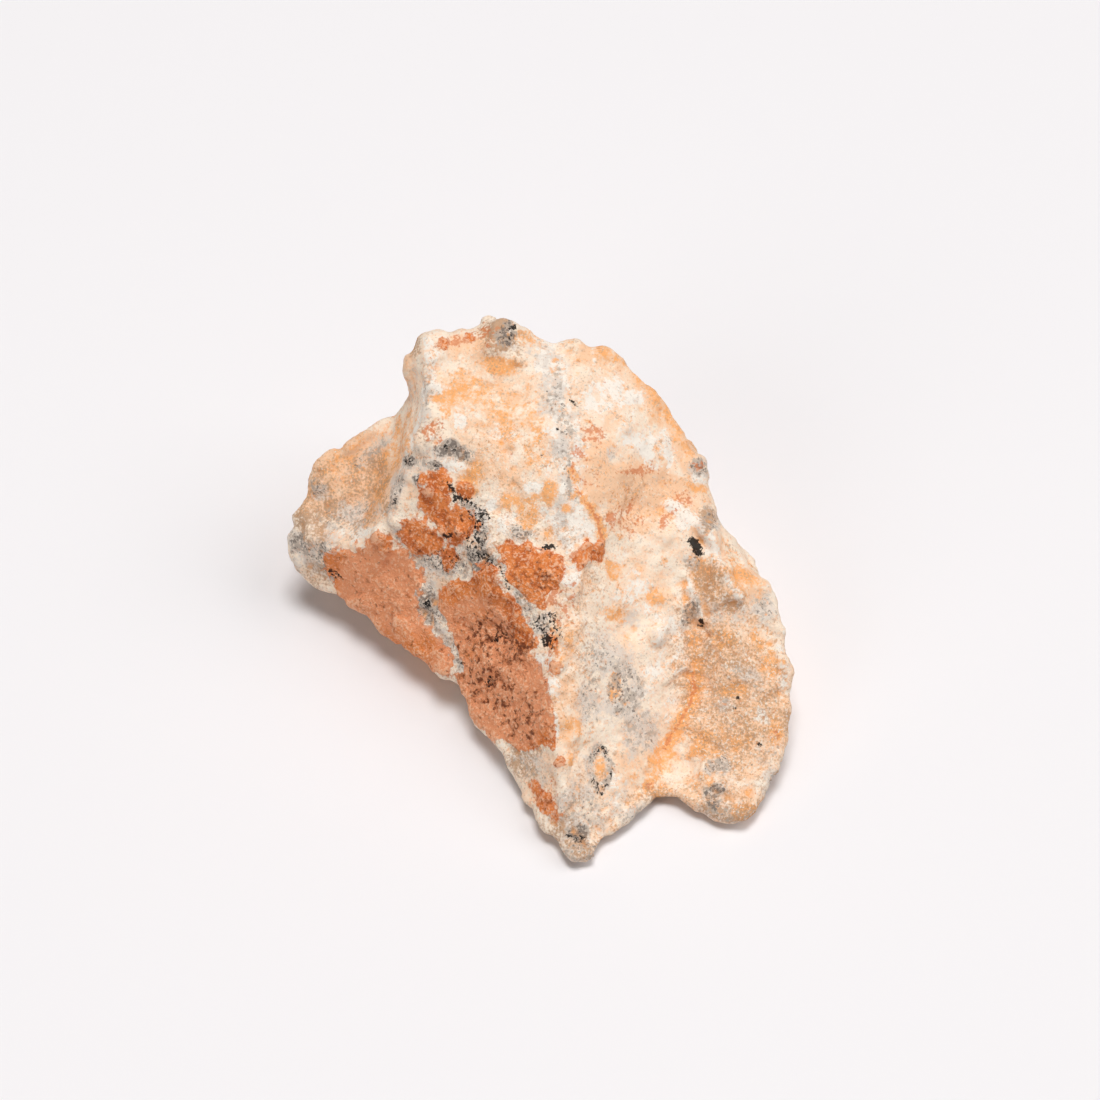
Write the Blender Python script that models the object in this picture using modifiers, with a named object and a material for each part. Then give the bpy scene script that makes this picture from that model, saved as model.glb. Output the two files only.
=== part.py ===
"""Lunar meteorite: one broken, desert-weathered stone, modelled as a single solid.

The stone is described by landmarks on its skin. Each is given as millimetres across and up the
picture plane of a three-quarter view from the front, and as its height above the table, because
that is how a stone is measured from a picture. The near skin and the far skin share the outline.
A cage through the landmarks is rounded by subdivision, broken into facets, roughened, and given
the stone's own lumps, vugs and chips. A flat spot under it carries it.
"""

import math

import bpy
import numpy as np
from mathutils import Matrix, Vector, noise
from mathutils.bvhtree import BVHTree
from mathutils.geometry import delaunay_2d_cdt

MM = 0.001
SEED = 5

# The view that the landmarks are measured in, in millimetres
VIEW_ELEVATION = math.radians(50.0)
VIEW_DISTANCE = 199.0
VIEW_CENTRE = Vector((0.8, 2.9, 8.0))

# Skin resolution, in millimetres
CAGE_LEVELS = 3
CAGE_FITS = 3
SAME_PLACE = 0.001
VOXEL = 0.32
SOLID_TRIANGLES = 9000

# Flat breaks, large and small: their spacing, the width of their worn edges, and how far each
# draws the skin to its plane, near and far
FACETS = [
    (7.0, 0.7, 0.00, 0.75),
    (3.0, 0.4, 0.45, 0.70),
]
FACET_REACH = 0.5

# Roughness of the broken skin: size of the lumps, and their height, near and far. A wave of
# noise reaches about half, and is folded at 0 and stretched to run from -1 to 1
ROUGHNESS = [
    (4.5, 0.10, 0.25),
    (2.0, 0.12, 0.18),
    (1.0, 0.09, 0.10),
]
SWELL = 4.0

# How fast the skin turns from near to far where it turns away from the view
SIDE_CHANGE = 2.0

# Room for breaks and forms: none moves the skin by more than a share of the stone's thickness,
# nor past a limit, and little near the outline, which keeps its measured place
ROOM_IN_THICKNESS = 0.25
ROOM_LIMIT = 1.4
OUTLINE_SHARE = 0.12
OUTLINE_BAND = 2.2
EASING_ROUNDS = 16

# Outline of the stone in that view, clockwise from the left corner of the summit:
# millimetres across, up, and height above the table
OUTLINE = [
    (-9.3, 13.6, 17.6), (-8.1, 14.3, 18.3), (-6.2, 14.4, 18.4), (-4.9, 14.8, 18.7),
    (-3.5, 15.3, 19.2), (-2.1, 15.0, 19.0), (-0.6, 14.1, 18.0), (0.9, 13.5, 17.6),
    (2.9, 13.3, 17.2), (4.4, 12.5, 16.4), (6.3, 11.1, 15.2), (7.8, 9.1, 13.8),
    (9.2, 6.7, 12.2), (10.3, 5.5, 11.2), (10.4, 4.2, 10.4), (10.9, 3.2, 9.7),
    (11.0, 1.5, 9.0), (12.4, 0.0, 8.4), (13.8, -1.8, 7.6), (14.9, -3.6, 6.6),
    (15.3, -5.1, 5.8), (15.3, -6.9, 5.0), (15.8, -8.9, 4.1), (15.8, -11.6, 2.9),
    (14.9, -13.4, 2.2), (14.5, -14.8, 1.8), (13.2, -17.3, 1.2), (12.0, -17.6, 1.1),
    (10.2, -17.1, 1.1), (8.5, -16.4, 1.2), (6.5, -16.4, 1.2), (5.9, -17.2, 1.0),
    (4.4, -18.3, 0.9), (3.2, -19.5, 0.9), (1.6, -20.1, 1.0), (0.3, -18.8, 1.0),
    (-0.8, -17.0, 1.2), (-2.1, -15.6, 1.4), (-3.0, -13.5, 1.7), (-4.1, -11.7, 2.1),
    (-5.1, -10.1, 2.4), (-6.0, -8.4, 2.9), (-8.1, -7.3, 3.0), (-9.9, -6.0, 3.1),
    (-11.4, -4.1, 3.2), (-13.7, -2.9, 3.1), (-15.9, -1.7, 3.1), (-17.0, -0.3, 4.4),
    (-17.3, 0.9, 5.8), (-16.2, 3.2, 7.4), (-15.5, 5.3, 9.0), (-13.7, 6.9, 10.6),
    (-11.6, 8.4, 12.2), (-9.8, 9.6, 13.8), (-9.5, 10.3, 15.0), (-9.6, 12.0, 16.6),
]

# Lines along the near skin: sharpness of the edge, from 0 to 1, then its points
NEAR_LINES = {
    "left_crest": (0.7, [
        (-8.1, 14.3, 18.3), (-7.8, 12.0, 18.0), (-7.9, 10.2, 17.2), (-8.5, 7.9, 16.0),
        (-9.0, 6.4, 14.6), (-9.9, 4.2, 12.6), (-10.9, 2.1, 10.6), (-12.2, 0.7, 8.6),
        (-14.3, 0.0, 6.6),
    ]),
    "plateau_lip": (0.35, [
        (-9.0, 6.4, 14.6), (-7.1, 5.4, 14.3), (-5.2, 3.8, 13.7), (-3.2, 1.9, 12.9),
        (-0.6, 1.3, 12.7), (1.2, 0.7, 12.5), (2.7, 0.6, 12.2),
    ]),
    "dome_crest": (0.1, [
        (0.9, 13.5, 17.6), (1.5, 9.8, 16.8), (1.4, 6.6, 15.8), (2.0, 3.3, 14.1),
        (2.7, 0.6, 12.2),
    ]),
    "front_crest": (0.45, [
        (2.7, 0.6, 12.2), (2.1, -1.3, 11.6), (1.4, -3.9, 10.4), (0.6, -6.5, 9.2),
        (0.3, -9.1, 7.8), (0.4, -12.4, 5.8), (0.8, -15.6, 3.8), (1.4, -18.5, 2.2),
        (1.6, -20.1, 1.0),
    ]),
    "crease": (0.35, [
        (9.0, -1.8, 8.5), (9.5, -4.4, 6.9), (9.6, -6.4, 5.6), (9.4, -8.9, 4.2),
        (8.5, -11.1, 3.1), (7.2, -12.9, 2.3), (6.5, -16.4, 1.2),
    ]),
    "lobe_crest": (0.4, [
        (8.2, 2.3, 11.0), (9.4, 1.2, 10.7), (10.8, -0.8, 9.8), (12.0, -3.1, 8.5),
    ]),
    "scoop_floor": (0.1, [
        (-9.8, 9.0, 12.9), (-10.3, 7.6, 12.0), (-11.1, 5.2, 10.2), (-12.0, 2.6, 8.6),
    ]),
}

# Points on the near skin between those lines
NEAR_SPOTS = [
    # plateau
    (-5.8, 12.4, 18.0), (-3.2, 13.0, 18.4), (-1.2, 11.4, 17.4), (-4.5, 9.8, 16.9),
    (-1.4, 8.2, 16.4), (-5.6, 7.4, 15.7), (-2.0, 5.0, 14.9), (0.2, 3.4, 14.1),
    # dome
    (4.2, 10.2, 16.0), (6.0, 8.0, 14.6), (4.4, 6.2, 15.0), (7.6, 5.4, 12.6),
    (4.8, 3.4, 12.9), (7.2, 3.4, 11.6), (5.2, 1.4, 11.2),
    # bright hollow beside the front crest
    (4.4, -1.0, 10.2), (6.8, -0.6, 9.9), (4.2, -3.8, 8.7), (7.2, -3.6, 8.0),
    (3.6, -6.8, 7.6), (6.8, -7.0, 6.2), (3.2, -9.8, 6.0), (6.2, -10.4, 4.4),
    (2.9, -13.0, 4.1), (5.2, -14.0, 2.8), (3.4, -16.6, 2.1),
    # rust face
    (-6.2, 2.2, 12.0), (-3.4, -0.6, 11.4), (-0.6, -1.8, 11.5), (-8.6, 0.6, 9.9),
    (-6.2, -1.6, 8.9), (-3.0, -3.6, 9.2), (-0.4, -5.2, 9.4), (-11.6, -1.4, 6.2),
    (-9.0, -3.2, 6.0), (-5.6, -5.0, 6.3), (-2.6, -7.0, 6.9), (-2.4, -10.6, 4.6),
    (-1.4, -14.0, 3.0), (-0.1, -16.8, 2.2),
    # left shoulder
    (-12.6, 6.2, 10.6), (-13.6, 4.2, 9.2), (-14.6, 2.4, 7.7),
    # right lobe
    (13.4, -3.4, 7.6), (11.4, -5.0, 7.0), (13.8, -5.8, 6.4), (11.5, -7.6, 5.5),
    (13.9, -8.6, 4.9), (11.2, -10.6, 3.9), (13.9, -11.4, 3.5), (9.6, -12.8, 2.9),
    (12.2, -14.2, 2.5), (9.8, -15.0, 1.9),
]

# Lines and points on the far skin, which the view doesn't reach, as x, y and z.
# Each line starts at the corner of the outline with the number given beside its sharpness
FAR_LINES = {
    "back_crest": (0.5, 4, [
        (-3.6, 14.4, 15.0), (-4.6, 15.8, 10.5), (-3.4, 16.6, 6.0), (-1.8, 15.6, 1.5),
        (-1.4, 14.6, -0.1),
    ]),
    "right_back_crest": (0.4, 11, [
        (7.8, 12.2, 9.5), (8.6, 12.0, 5.0), (9.4, 9.6, 0.8),
    ]),
    "left_back_crest": (0.4, 51, [
        (-12.0, 10.6, 7.0), (-11.2, 11.4, 4.0), (-9.8, 10.8, 1.2),
    ]),
}
FAR_SPOTS = [
    # hollow between the back crest and the right back crest
    (2.0, 12.8, 12.5), (3.0, 12.6, 8.0), (2.4, 13.4, 4.2), (4.0, 13.2, 0.9),
    # hollow between the back crest and the left back crest
    (-7.6, 12.6, 13.0), (-8.6, 12.8, 8.6), (-8.2, 13.4, 4.6), (-6.6, 13.0, 0.9),
    # right end
    (10.8, 7.0, 6.8), (12.2, 5.6, 3.4), (13.6, 1.2, 5.0), (13.4, 0.6, 2.0),
    (15.2, -3.6, 3.0), (14.4, -3.8, 0.9), (15.2, -8.4, 1.3), (13.6, -12.0, 0.4),
    # left end
    (-14.2, 7.2, 6.0), (-13.8, 7.0, 3.8), (-13.0, 5.6, 2.2),
    # underside
    (-11.4, 5.2, 1.8), (-9.0, 1.8, 1.6), (-8.4, 8.0, 0.6), (-5.6, -0.6, 0.8),
    (-4.6, 5.0, -0.5), (-2.4, -5.0, 0.4), (0.0, 0.0, -0.6), (0.5, 10.0, -0.5),
    (1.0, -6.0, 0.1), (5.0, 4.0, -0.6), (5.0, -3.0, 0.2), (6.6, 9.0, 0.0),
    (9.4, 1.0, 0.1), (9.6, -5.4, 0.2), (-0.6, -10.4, 0.6), (3.0, -11.0, 0.2),
    (6.4, -8.4, 0.4), (10.4, -10.6, 0.3), (2.6, -15.6, 0.3), (11.8, -12.8, 0.3),
    (8.8, -11.8, 0.4),
]

# The stone's own lumps and hollows on the near skin:
# millimetres across and up the view, radius, and rise, which is negative for a hollow
NEAR_FORMS = [
    ("summit knob", -3.1, 13.8, 1.8, 0.55),
    ("summit corner", -8.6, 13.6, 1.6, 0.35),
    ("grey clast", -6.2, 6.4, 1.7, 0.30),
    ("upper rust blob", -7.7, 3.9, 1.4, 0.40),
    ("middle rust blob", -5.8, 1.8, 1.6, 0.40),
    ("pitted rust blob", 0.0, -1.2, 1.8, 0.35),
    ("dark block", 2.4, -0.4, 1.1, 0.30),
    ("swell under the lip", -3.6, -1.6, 2.6, 0.30),
    ("rust vug, upper", -3.3, -5.6, 1.2, -0.40),
    ("rust vug, lower", -3.8, -8.7, 1.2, -0.40),
    ("rust vug, left", -5.5, -5.2, 1.1, -0.35),
    ("vug by the crest", -0.4, -5.8, 1.2, -0.30),
    ("ring hollow", 3.3, -14.3, 1.4, -0.25),
    ("mineral socket", 9.4, 0.4, 1.2, -0.40),
    ("crease pit", 9.9, -4.9, 1.1, -0.45),
    ("lobe crest end", 10.9, -1.0, 1.5, 0.40),
    ("lobe knob", 14.2, -8.0, 1.8, 0.35),
    ("lobe foot", 11.0, -16.0, 1.6, 0.35),
    ("dome swell", 3.6, 8.6, 3.2, 0.35),
    ("dome dip", 6.4, 2.2, 2.0, -0.35),
    ("plateau dip", -2.6, 9.2, 2.4, -0.30),
    ("hollow dip", 5.4, -5.4, 3.0, -0.35),
    ("shoulder bump", -14.4, 4.4, 1.6, 0.30),
    ("shoulder foot", -15.2, 0.6, 1.6, 0.25),
]

# The uneven edge of a form: how ragged it is, how many waves of noise lie in a radius, and how
# many radii out it is worked
FORM_RAGGEDNESS = 0.7
FORM_WAVES = 1.5
FORM_REACH = 1.5

# Seeded chips on the far skin: how far it must face the view to be near skin, how many chips,
# their radius, and their depth for each mm of radius
FAR_FACING = -0.2
FAR_CHIPS = 18
CHIP_RADIUS = (1.0, 3.2)
CHIP_DEPTH = 0.16

# Weathered feldspar breccia, as one plain surface
STONE_COLOUR = (0.61, 0.44, 0.30, 1.0)
STONE_ROUGHNESS = 0.92


def view_axes():
    """The view's right, up and backward directions."""
    sine, cosine = math.sin(VIEW_ELEVATION), math.cos(VIEW_ELEVATION)
    return Vector((1, 0, 0)), Vector((0, sine, cosine)), Vector((0, -cosine, sine))


def line_of_sight(across, up):
    """The eye, and the sight from it through a place in the picture plane."""
    right, upward, backward = view_axes()
    eye = VIEW_CENTRE + backward * VIEW_DISTANCE
    return eye, VIEW_CENTRE + right * across + upward * up - eye


def placed(landmark):
    """The point in space of a landmark: where the line of sight reaches its height."""
    across, up, height = landmark
    eye, sight = line_of_sight(across, up)
    return eye + sight * ((height - eye.z) / sight.z)


def in_picture(point):
    """Where the view shows a point of space: millimetres across and up the picture plane."""
    right, upward, backward = view_axes()
    sight = Vector(point) - VIEW_CENTRE
    scale = VIEW_DISTANCE / (VIEW_DISTANCE - sight.dot(backward))
    return Vector((sight.dot(right), sight.dot(upward))) * scale


def skin(lines, spots):
    """Triangles of one skin over the outline, its lines and its loose points.

    The points are in space. A line is its sharpness, the number of the outline's corner that it
    starts from or None, and its points. Returns all the points, the triangles as point numbers,
    and the sharpness of each line edge.
    """
    points = [placed(corner) for corner in OUTLINE]
    edges = [(i, (i + 1) % len(OUTLINE)) for i in range(len(OUTLINE))]
    sharpness = {}
    for sharp, corner, line in lines:
        numbers = [] if corner is None else [corner]
        for point in line:
            numbers.append(same_point(points, point))
        for pair in zip(numbers, numbers[1:]):
            edges.append(pair)
            sharpness[frozenset(pair)] = sharp
    points += spots
    flat = [in_picture(point) for point in points]
    _, _, faces, origins, _, _ = delaunay_2d_cdt(flat, edges, [], 1, 1e-5)
    triangles = [tuple(origins[v][0] for v in face) for face in faces]
    return points, triangles, sharpness


def same_point(points, point):
    """The point's number in the list, to which it is added if it isn't there yet."""
    for number, other in enumerate(points):
        if (other - point).length < SAME_PLACE:
            return number
    points.append(point)
    return len(points) - 1


def cage_mesh():
    """The closed cage of near and far skin, in millimetres, with its sharp edges marked."""
    near_lines = [(sharp, None, [placed(p) for p in line]) for sharp, line in NEAR_LINES.values()]
    far_lines = [(sharp, corner, [Vector(p) for p in line])
                 for sharp, corner, line in FAR_LINES.values()]
    near, near_faces, near_sharp = skin(near_lines, [placed(p) for p in NEAR_SPOTS])
    far, far_faces, far_sharp = skin(far_lines, [Vector(p) for p in FAR_SPOTS])
    rim = len(OUTLINE)
    shift = len(near) - rim

    def far_number(number):
        return number if number < rim else number + shift

    points = near + far[rim:]
    faces = list(near_faces)
    faces += [tuple(reversed([far_number(v) for v in face])) for face in far_faces]
    sharpness = dict(near_sharp)
    for pair, sharp in far_sharp.items():
        sharpness[frozenset(far_number(v) for v in pair)] = sharp
    mesh = bpy.data.meshes.new("stone_cage")
    mesh.from_pydata([tuple(p) for p in points], [], faces)
    creases = mesh.attributes.new("crease_edge", "FLOAT", "EDGE")
    for edge in mesh.edges:
        creases.data[edge.index].value = sharpness.get(frozenset(edge.vertices), 0.0)
    return mesh


def evaluated_copy(obj, name):
    """A plain mesh of the object with its modifiers applied."""
    graph = bpy.context.evaluated_depsgraph_get()
    mesh = bpy.data.meshes.new_from_object(obj.evaluated_get(graph))
    mesh.name = name
    return mesh


def positions(mesh):
    """The mesh's vertex positions as an array."""
    co = np.empty(len(mesh.vertices) * 3)
    mesh.vertices.foreach_get("co", co)
    return co.reshape(-1, 3)


def normals(mesh):
    """The mesh's vertex normals as an array."""
    directions = np.empty(len(mesh.vertices) * 3)
    mesh.vertices.foreach_get("normal", directions)
    return directions.reshape(-1, 3)


def set_positions(mesh, co):
    mesh.vertices.foreach_set("co", co.ravel())
    mesh.update()


def pass_through_landmarks(stone):
    """Moves the cage out until its subdivided surface meets the landmarks that it was built on."""
    landmarks = positions(stone.data)
    cage = landmarks.copy()
    for _ in range(CAGE_FITS):
        bpy.context.view_layer.update()
        surface = evaluated_copy(stone, "fitted")
        cage += landmarks - positions(surface)[:len(cage)]
        bpy.data.meshes.remove(surface)
        set_positions(stone.data, cage)


def smooth_step(share):
    """Runs from 0 to 1 with level ends as share does."""
    share = np.clip(share, 0.0, 1.0)
    return share * share * (3.0 - 2.0 * share)


def skin_tree(mesh):
    """The mesh's faces, ready for rays."""
    return BVHTree.FromPolygons([tuple(p) for p in positions(mesh)],
                                [tuple(face.vertices) for face in mesh.polygons])


def from_outline(co):
    """How far inside the outline each point lies in the picture plane."""
    picture = np.array([in_picture(p) for p in co])
    corners = np.array(OUTLINE)[:, :2]
    nearest = np.full(len(co), np.inf)
    for start, end in zip(corners, np.roll(corners, -1, axis=0)):
        run = end - start
        share = np.clip((picture - start) @ run / (run @ run), 0.0, 1.0)
        nearest = np.minimum(nearest, np.linalg.norm(picture - start - share[:, None] * run, axis=1))
    return nearest


def eased(mesh, values):
    """The values, each evened out with its neighbours along the mesh's edges."""
    ends = np.empty(len(mesh.edges) * 2, dtype=int)
    mesh.edges.foreach_get("vertices", ends)
    first, second = ends.reshape(-1, 2).T
    count = np.bincount(ends, minlength=len(values))
    for _ in range(EASING_ROUNDS):
        total = np.bincount(first, values[second], len(values))
        total += np.bincount(second, values[first], len(values))
        values = (values + total / count) / 2
    return values


def sides_and_room(mesh):
    """How far each vertex faces away from the view, from 0 to 1, and how far it may move."""
    co, directions = positions(mesh), normals(mesh)
    away = smooth_step(0.5 - SIDE_CHANGE * directions @ np.array(view_axes()[2]))
    tree = skin_tree(mesh)
    thickness = np.zeros(len(co))
    for number, (point, direction) in enumerate(zip(co, directions)):
        inward = Vector(-direction)
        thickness[number] = tree.ray_cast(Vector(point) + inward * VOXEL, inward)[3] or 0.0
    room = np.minimum(thickness * ROOM_IN_THICKNESS, ROOM_LIMIT)
    room *= OUTLINE_SHARE + (1.0 - OUTLINE_SHARE) * smooth_step(from_outline(co) / OUTLINE_BAND)
    return eased(mesh, away), np.maximum(eased(mesh, room), SAME_PLACE)


def move_skin(mesh, moves, room):
    """Moves the vertices, each less and less as it comes near the limit of its room."""
    length = np.linalg.norm(moves, axis=1)
    share = room * np.tanh(length / room) / np.maximum(length, SAME_PLACE)
    set_positions(mesh, positions(mesh) + moves * share[:, None])


def spread_points(co, spacing, rng):
    """Numbers of vertices picked at random that stay a spacing apart."""
    picked = []
    for number in rng.permutation(len(co)):
        if not picked or np.linalg.norm(co[picked] - co[number], axis=1).min() > spacing:
            picked.append(number)
    return picked


def break_into_facets(mesh, rng, away, room, spacing, edge, near, far):
    """Draws the skin towards flat breaks, each round its own centre, with worn edges between."""
    co = positions(mesh)
    directions = normals(mesh)
    centres = spread_points(co, spacing, rng)
    distance = np.linalg.norm(co[:, None] - co[centres][None], axis=2)
    planes = []
    for column in range(len(centres)):
        around = distance[:, column] < spacing * FACET_REACH
        mean = directions[around].sum(axis=0)
        planes.append((co[around].mean(axis=0), mean / np.linalg.norm(mean)))
    points = np.array([point for point, _ in planes])
    facing = np.array([direction for _, direction in planes])
    order = np.argsort(distance, axis=1)[:, :2]
    rows = np.arange(len(co))
    first, second = order[:, 0], order[:, 1]
    gap = distance[rows, second] - distance[rows, first]
    share = 0.5 + 0.5 * smooth_step(gap / edge)
    move = np.zeros_like(co)
    for choice, weight in ((first, share), (second, 1.0 - share)):
        depth = np.einsum("ij,ij->i", points[choice] - co, facing[choice])
        move += facing[choice] * (depth * weight)[:, None]
    move_skin(mesh, move * (near + (far - near) * away)[:, None], room)


def roughen(mesh, away, room):
    """Raises swells with creases between them, at each size of ROUGHNESS."""
    co = positions(mesh)
    rise = np.zeros(len(co))
    for size, near, far in ROUGHNESS:
        wave = np.array([SWELL * abs(noise.noise(Vector(p) / size)) - 1.0 for p in co])
        rise += wave * (near + (far - near) * away)
    move_skin(mesh, normals(mesh) * rise[:, None], room)


def add_form(mesh, room, centre, radius, rise):
    """Raises a rounded lump, or sinks a hollow with a sharp rim, both with an uneven edge."""
    co = positions(mesh)
    distance = np.linalg.norm(co - np.array(centre), axis=1)
    inside = np.flatnonzero(distance < radius * FORM_REACH)
    uneven = np.array([noise.noise(Vector(co[i]) * FORM_WAVES / radius) for i in inside])
    share = np.clip(distance[inside] / radius + FORM_RAGGEDNESS * uneven, 0.0, 1.0)
    profile = smooth_step(1.0 - share) if rise > 0 else 1.0 - share ** 2
    direction = normals(mesh)[inside].sum(axis=0)
    direction /= np.linalg.norm(direction)
    moves = np.zeros_like(co)
    moves[inside] = direction * (rise * profile)[:, None]
    move_skin(mesh, moves, room)


def add_forms(mesh, rng, room):
    """Adds the near forms where the view shows them, and seeded ones on the far skin."""
    tree = skin_tree(mesh)
    for _, across, up, radius, rise in NEAR_FORMS:
        eye, sight = line_of_sight(across, up)
        hit = tree.ray_cast(eye, sight)[0]
        add_form(mesh, room, hit, radius, rise)
    behind = np.flatnonzero(normals(mesh) @ np.array(view_axes()[2]) < FAR_FACING)
    co = positions(mesh)
    for number in rng.choice(behind, FAR_CHIPS, replace=False):
        radius = rng.uniform(*CHIP_RADIUS)
        add_form(mesh, room, co[number], radius, -radius * CHIP_DEPTH)


def flatten_underside(mesh):
    """Makes the flat spot that carries the stone."""
    co = positions(mesh)
    co[:, 2] = np.maximum(co[:, 2], 0.0)
    set_positions(mesh, co)


def stone_material():
    material = bpy.data.materials.new("weathered feldspar breccia")
    material.use_nodes = True
    shader = material.node_tree.nodes["Principled BSDF"]
    shader.inputs["Base Color"].default_value = STONE_COLOUR
    shader.inputs["Roughness"].default_value = STONE_ROUGHNESS
    shader.inputs["Metallic"].default_value = 0.0
    return material


def applied(obj, name, kind, **settings):
    """Applies one modifier to the object's mesh."""
    modifier = obj.modifiers.new(name, kind)
    for key, value in settings.items():
        setattr(modifier, key, value)
    bpy.context.view_layer.update()
    old = obj.data
    obj.data = evaluated_copy(obj, "stone")
    obj.modifiers.clear()
    bpy.data.meshes.remove(old)


def main():
    for obj in list(bpy.data.objects):
        bpy.data.objects.remove(obj)
    collection = bpy.data.collections.new("lunar_meteorite")
    bpy.context.scene.collection.children.link(collection)
    stone = bpy.data.objects.new("stone", cage_mesh())
    collection.objects.link(stone)
    rounding = stone.modifiers.new("rounded", "SUBSURF")
    rounding.levels = rounding.render_levels = CAGE_LEVELS
    rounding.use_limit_surface = False
    pass_through_landmarks(stone)
    applied(stone, "even skin", "REMESH", mode="VOXEL", voxel_size=VOXEL, use_smooth_shade=True)
    rng = np.random.default_rng(SEED)
    away, room = sides_and_room(stone.data)
    for facets in FACETS:
        break_into_facets(stone.data, rng, away, room, *facets)
    roughen(stone.data, away, room)
    add_forms(stone.data, rng, room)
    applied(stone, "one skin", "REMESH", mode="VOXEL", voxel_size=VOXEL, use_smooth_shade=True)
    triangles = 2 * len(stone.data.polygons)
    applied(stone, "fewer faces", "DECIMATE", ratio=SOLID_TRIANGLES / triangles)
    flatten_underside(stone.data)
    stone.data.transform(Matrix.Scale(MM, 4))
    stone.data.materials.clear()
    stone.data.materials.append(stone_material())


main()
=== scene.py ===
"""Looks of a lunar meteorite: a broken, desert-weathered feldspar breccia with rust stains.

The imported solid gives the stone's place, size and main forms. This script gives it a fine broken
skin, and the mineral patches, stains and specks that the photograph shows, and sets it on a plain
pale floor in soft light. Lengths in the tables are millimetres. A place in the tables is a pixel
column and row of the 1100 x 1100 photograph, and is found on the stone by a line of sight.
"""

import math

import bmesh
import bpy
import numpy as np
from bpy.props import FloatProperty, FloatVectorProperty, IntProperty, PointerProperty
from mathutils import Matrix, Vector, noise
from mathutils.bvhtree import BVHTree


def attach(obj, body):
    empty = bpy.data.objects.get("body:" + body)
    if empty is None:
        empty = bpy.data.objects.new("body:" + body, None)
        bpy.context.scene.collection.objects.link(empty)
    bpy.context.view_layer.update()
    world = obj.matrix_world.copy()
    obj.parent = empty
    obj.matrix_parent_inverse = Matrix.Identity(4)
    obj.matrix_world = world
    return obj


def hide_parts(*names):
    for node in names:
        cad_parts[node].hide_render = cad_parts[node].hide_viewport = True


bl_info = {
    "name": "Lunar meteorite",
    "version": (1, 0, 0),
    "blender": (4, 5, 0),
    "location": "View3D > Sidebar > Meteorite",
    "description": "Builds the broken, weathered skin of a small lunar breccia on its solid",
    "category": "Object",
}

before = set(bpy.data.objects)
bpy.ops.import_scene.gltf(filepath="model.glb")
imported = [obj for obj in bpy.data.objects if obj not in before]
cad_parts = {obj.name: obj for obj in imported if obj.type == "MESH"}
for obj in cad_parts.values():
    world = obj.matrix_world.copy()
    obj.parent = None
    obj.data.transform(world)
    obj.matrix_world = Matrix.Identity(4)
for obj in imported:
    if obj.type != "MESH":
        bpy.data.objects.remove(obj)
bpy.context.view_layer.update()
MM = 0.001

# The photograph's view. The solid's landmarks were measured in the same one
PHOTO_PIXELS = 1100
PIXEL = 0.065
VIEW_ELEVATION = math.radians(50.0)
VIEW_DISTANCE = 199.0
VIEW_CENTRE = Vector((0.8, 2.9, 8.0))
LENS = 100.0
SENSOR = 36.0

# Rounds of smoothing past which a crest or a crease, up to 3 mm wide, stands out, rounds that
# even that out along it, and how much is kept of the swells that stand out less
CREST_ROUNDS = 80
EVENING_ROUNDS = 12
SWELL_KEPT = 0.35

# How far apart two corners of the solid's triangles may lie, in mm, and be one
SAME_POINT = 0.001

# How far behind the seen skin a vertex may lie and still be seen, in mm, rounds of smoothing that
# widen the outline to a band, and how far past it the seen side's patches reach
SIGHT_SLACK = 0.4
OUTLINE_ROUNDS = 40
OUTLINE_REACH = 2.4

# Ragged edges of the patches: size in mm of their waves and of the ripples on those, share of the
# ripples, seeds of the waves across and up the picture plane, how far in mm the edges of a wide
# patch and of a fine one stray, and the half width in mm up to which a patch is fine
WAVE_SIZE = 1.3
RIPPLE_SIZE = 0.5
RIPPLE_SHARE = 0.5
RAGGED_SEEDS = (1, 3)
WIDE_STRAY = 0.50
FINE_STRAY = 0.14
FINE_PATCH = 0.7

# Soft edges, as half of their width: a share of a patch's half width, within limits in mm, mm on
# an outlined patch, and a share of a vein's half width
PATCH_EDGE = 0.4
PATCH_EDGE_LIMITS = (0.12, 0.6)
OUTLINED_EDGE = 0.35
VEIN_EDGE = 0.6

# Half widths from a ridge's line to its foot, and mm that a step takes to rise from its line
RIDGE_FOOT = 2.0
STEP_EDGE = 0.3

# Rounds of smoothing that give the skin around a vertex, and the depth or height in mm past
# which the vertex is wholly pitted or proud
RELIEF_ROUNDS = 10
RELIEF_HEIGHT = 0.12

# Names of the fields on the skin, each from 0 to 1, and of the values that tell its relief
FIELDS = ["peach", "stain", "white", "grey", "taupe", "red", "rust", "pink_rust", "pocked",
          "dark", "rough"]
RELIEF = ["pitted", "proud"]

# Inputs of the skin's nodes, each named for a size of the stone's shape
SKIN_INPUTS = ["Break size", "Break slope", "Chip size", "Chip slope", "Edge wear", "Lump size",
               "Lump height", "Pit size", "Pit depth", "Crust height", "Pore size", "Pore depth"]

# Patterns of the skin's nodes, which run from 0 to 1: their middle, octaves of the warp of the
# breaks, octaves and roughness of the lumps and of the froth that makes the pores, how much the
# lumps fray a pit, and the distances from a pit's middle at its rim and at its floor, as shares
# of the distance between pits
PATTERN_MIDDLE = 0.5
WARP_OCTAVES = 3.0
LUMP_OCTAVES = 6.0
LUMP_ROUGHNESS = 0.72
FROTH_OCTAVES = 3.0
FROTH_ROUGHNESS = 0.6
PIT_FRAY = 0.5
PIT_RIM = 0.26
PIT_FLOOR = 0.12

# Where the crust starts to rise and where it is whole, in its field, where a pore starts and
# where it is deepest, in the froth, and how much steeper breaks and chips are than their slopes
CRUST_EDGE = (0.3, 0.7)
PORE_EDGE = (0.50, 0.66)
BREAK_GAIN = 2.0

# Kinds of flats on the skin, and how far each one's pattern is moved, in metres
FLATS = {"Break": 0.31, "Chip": 0.67}

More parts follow.
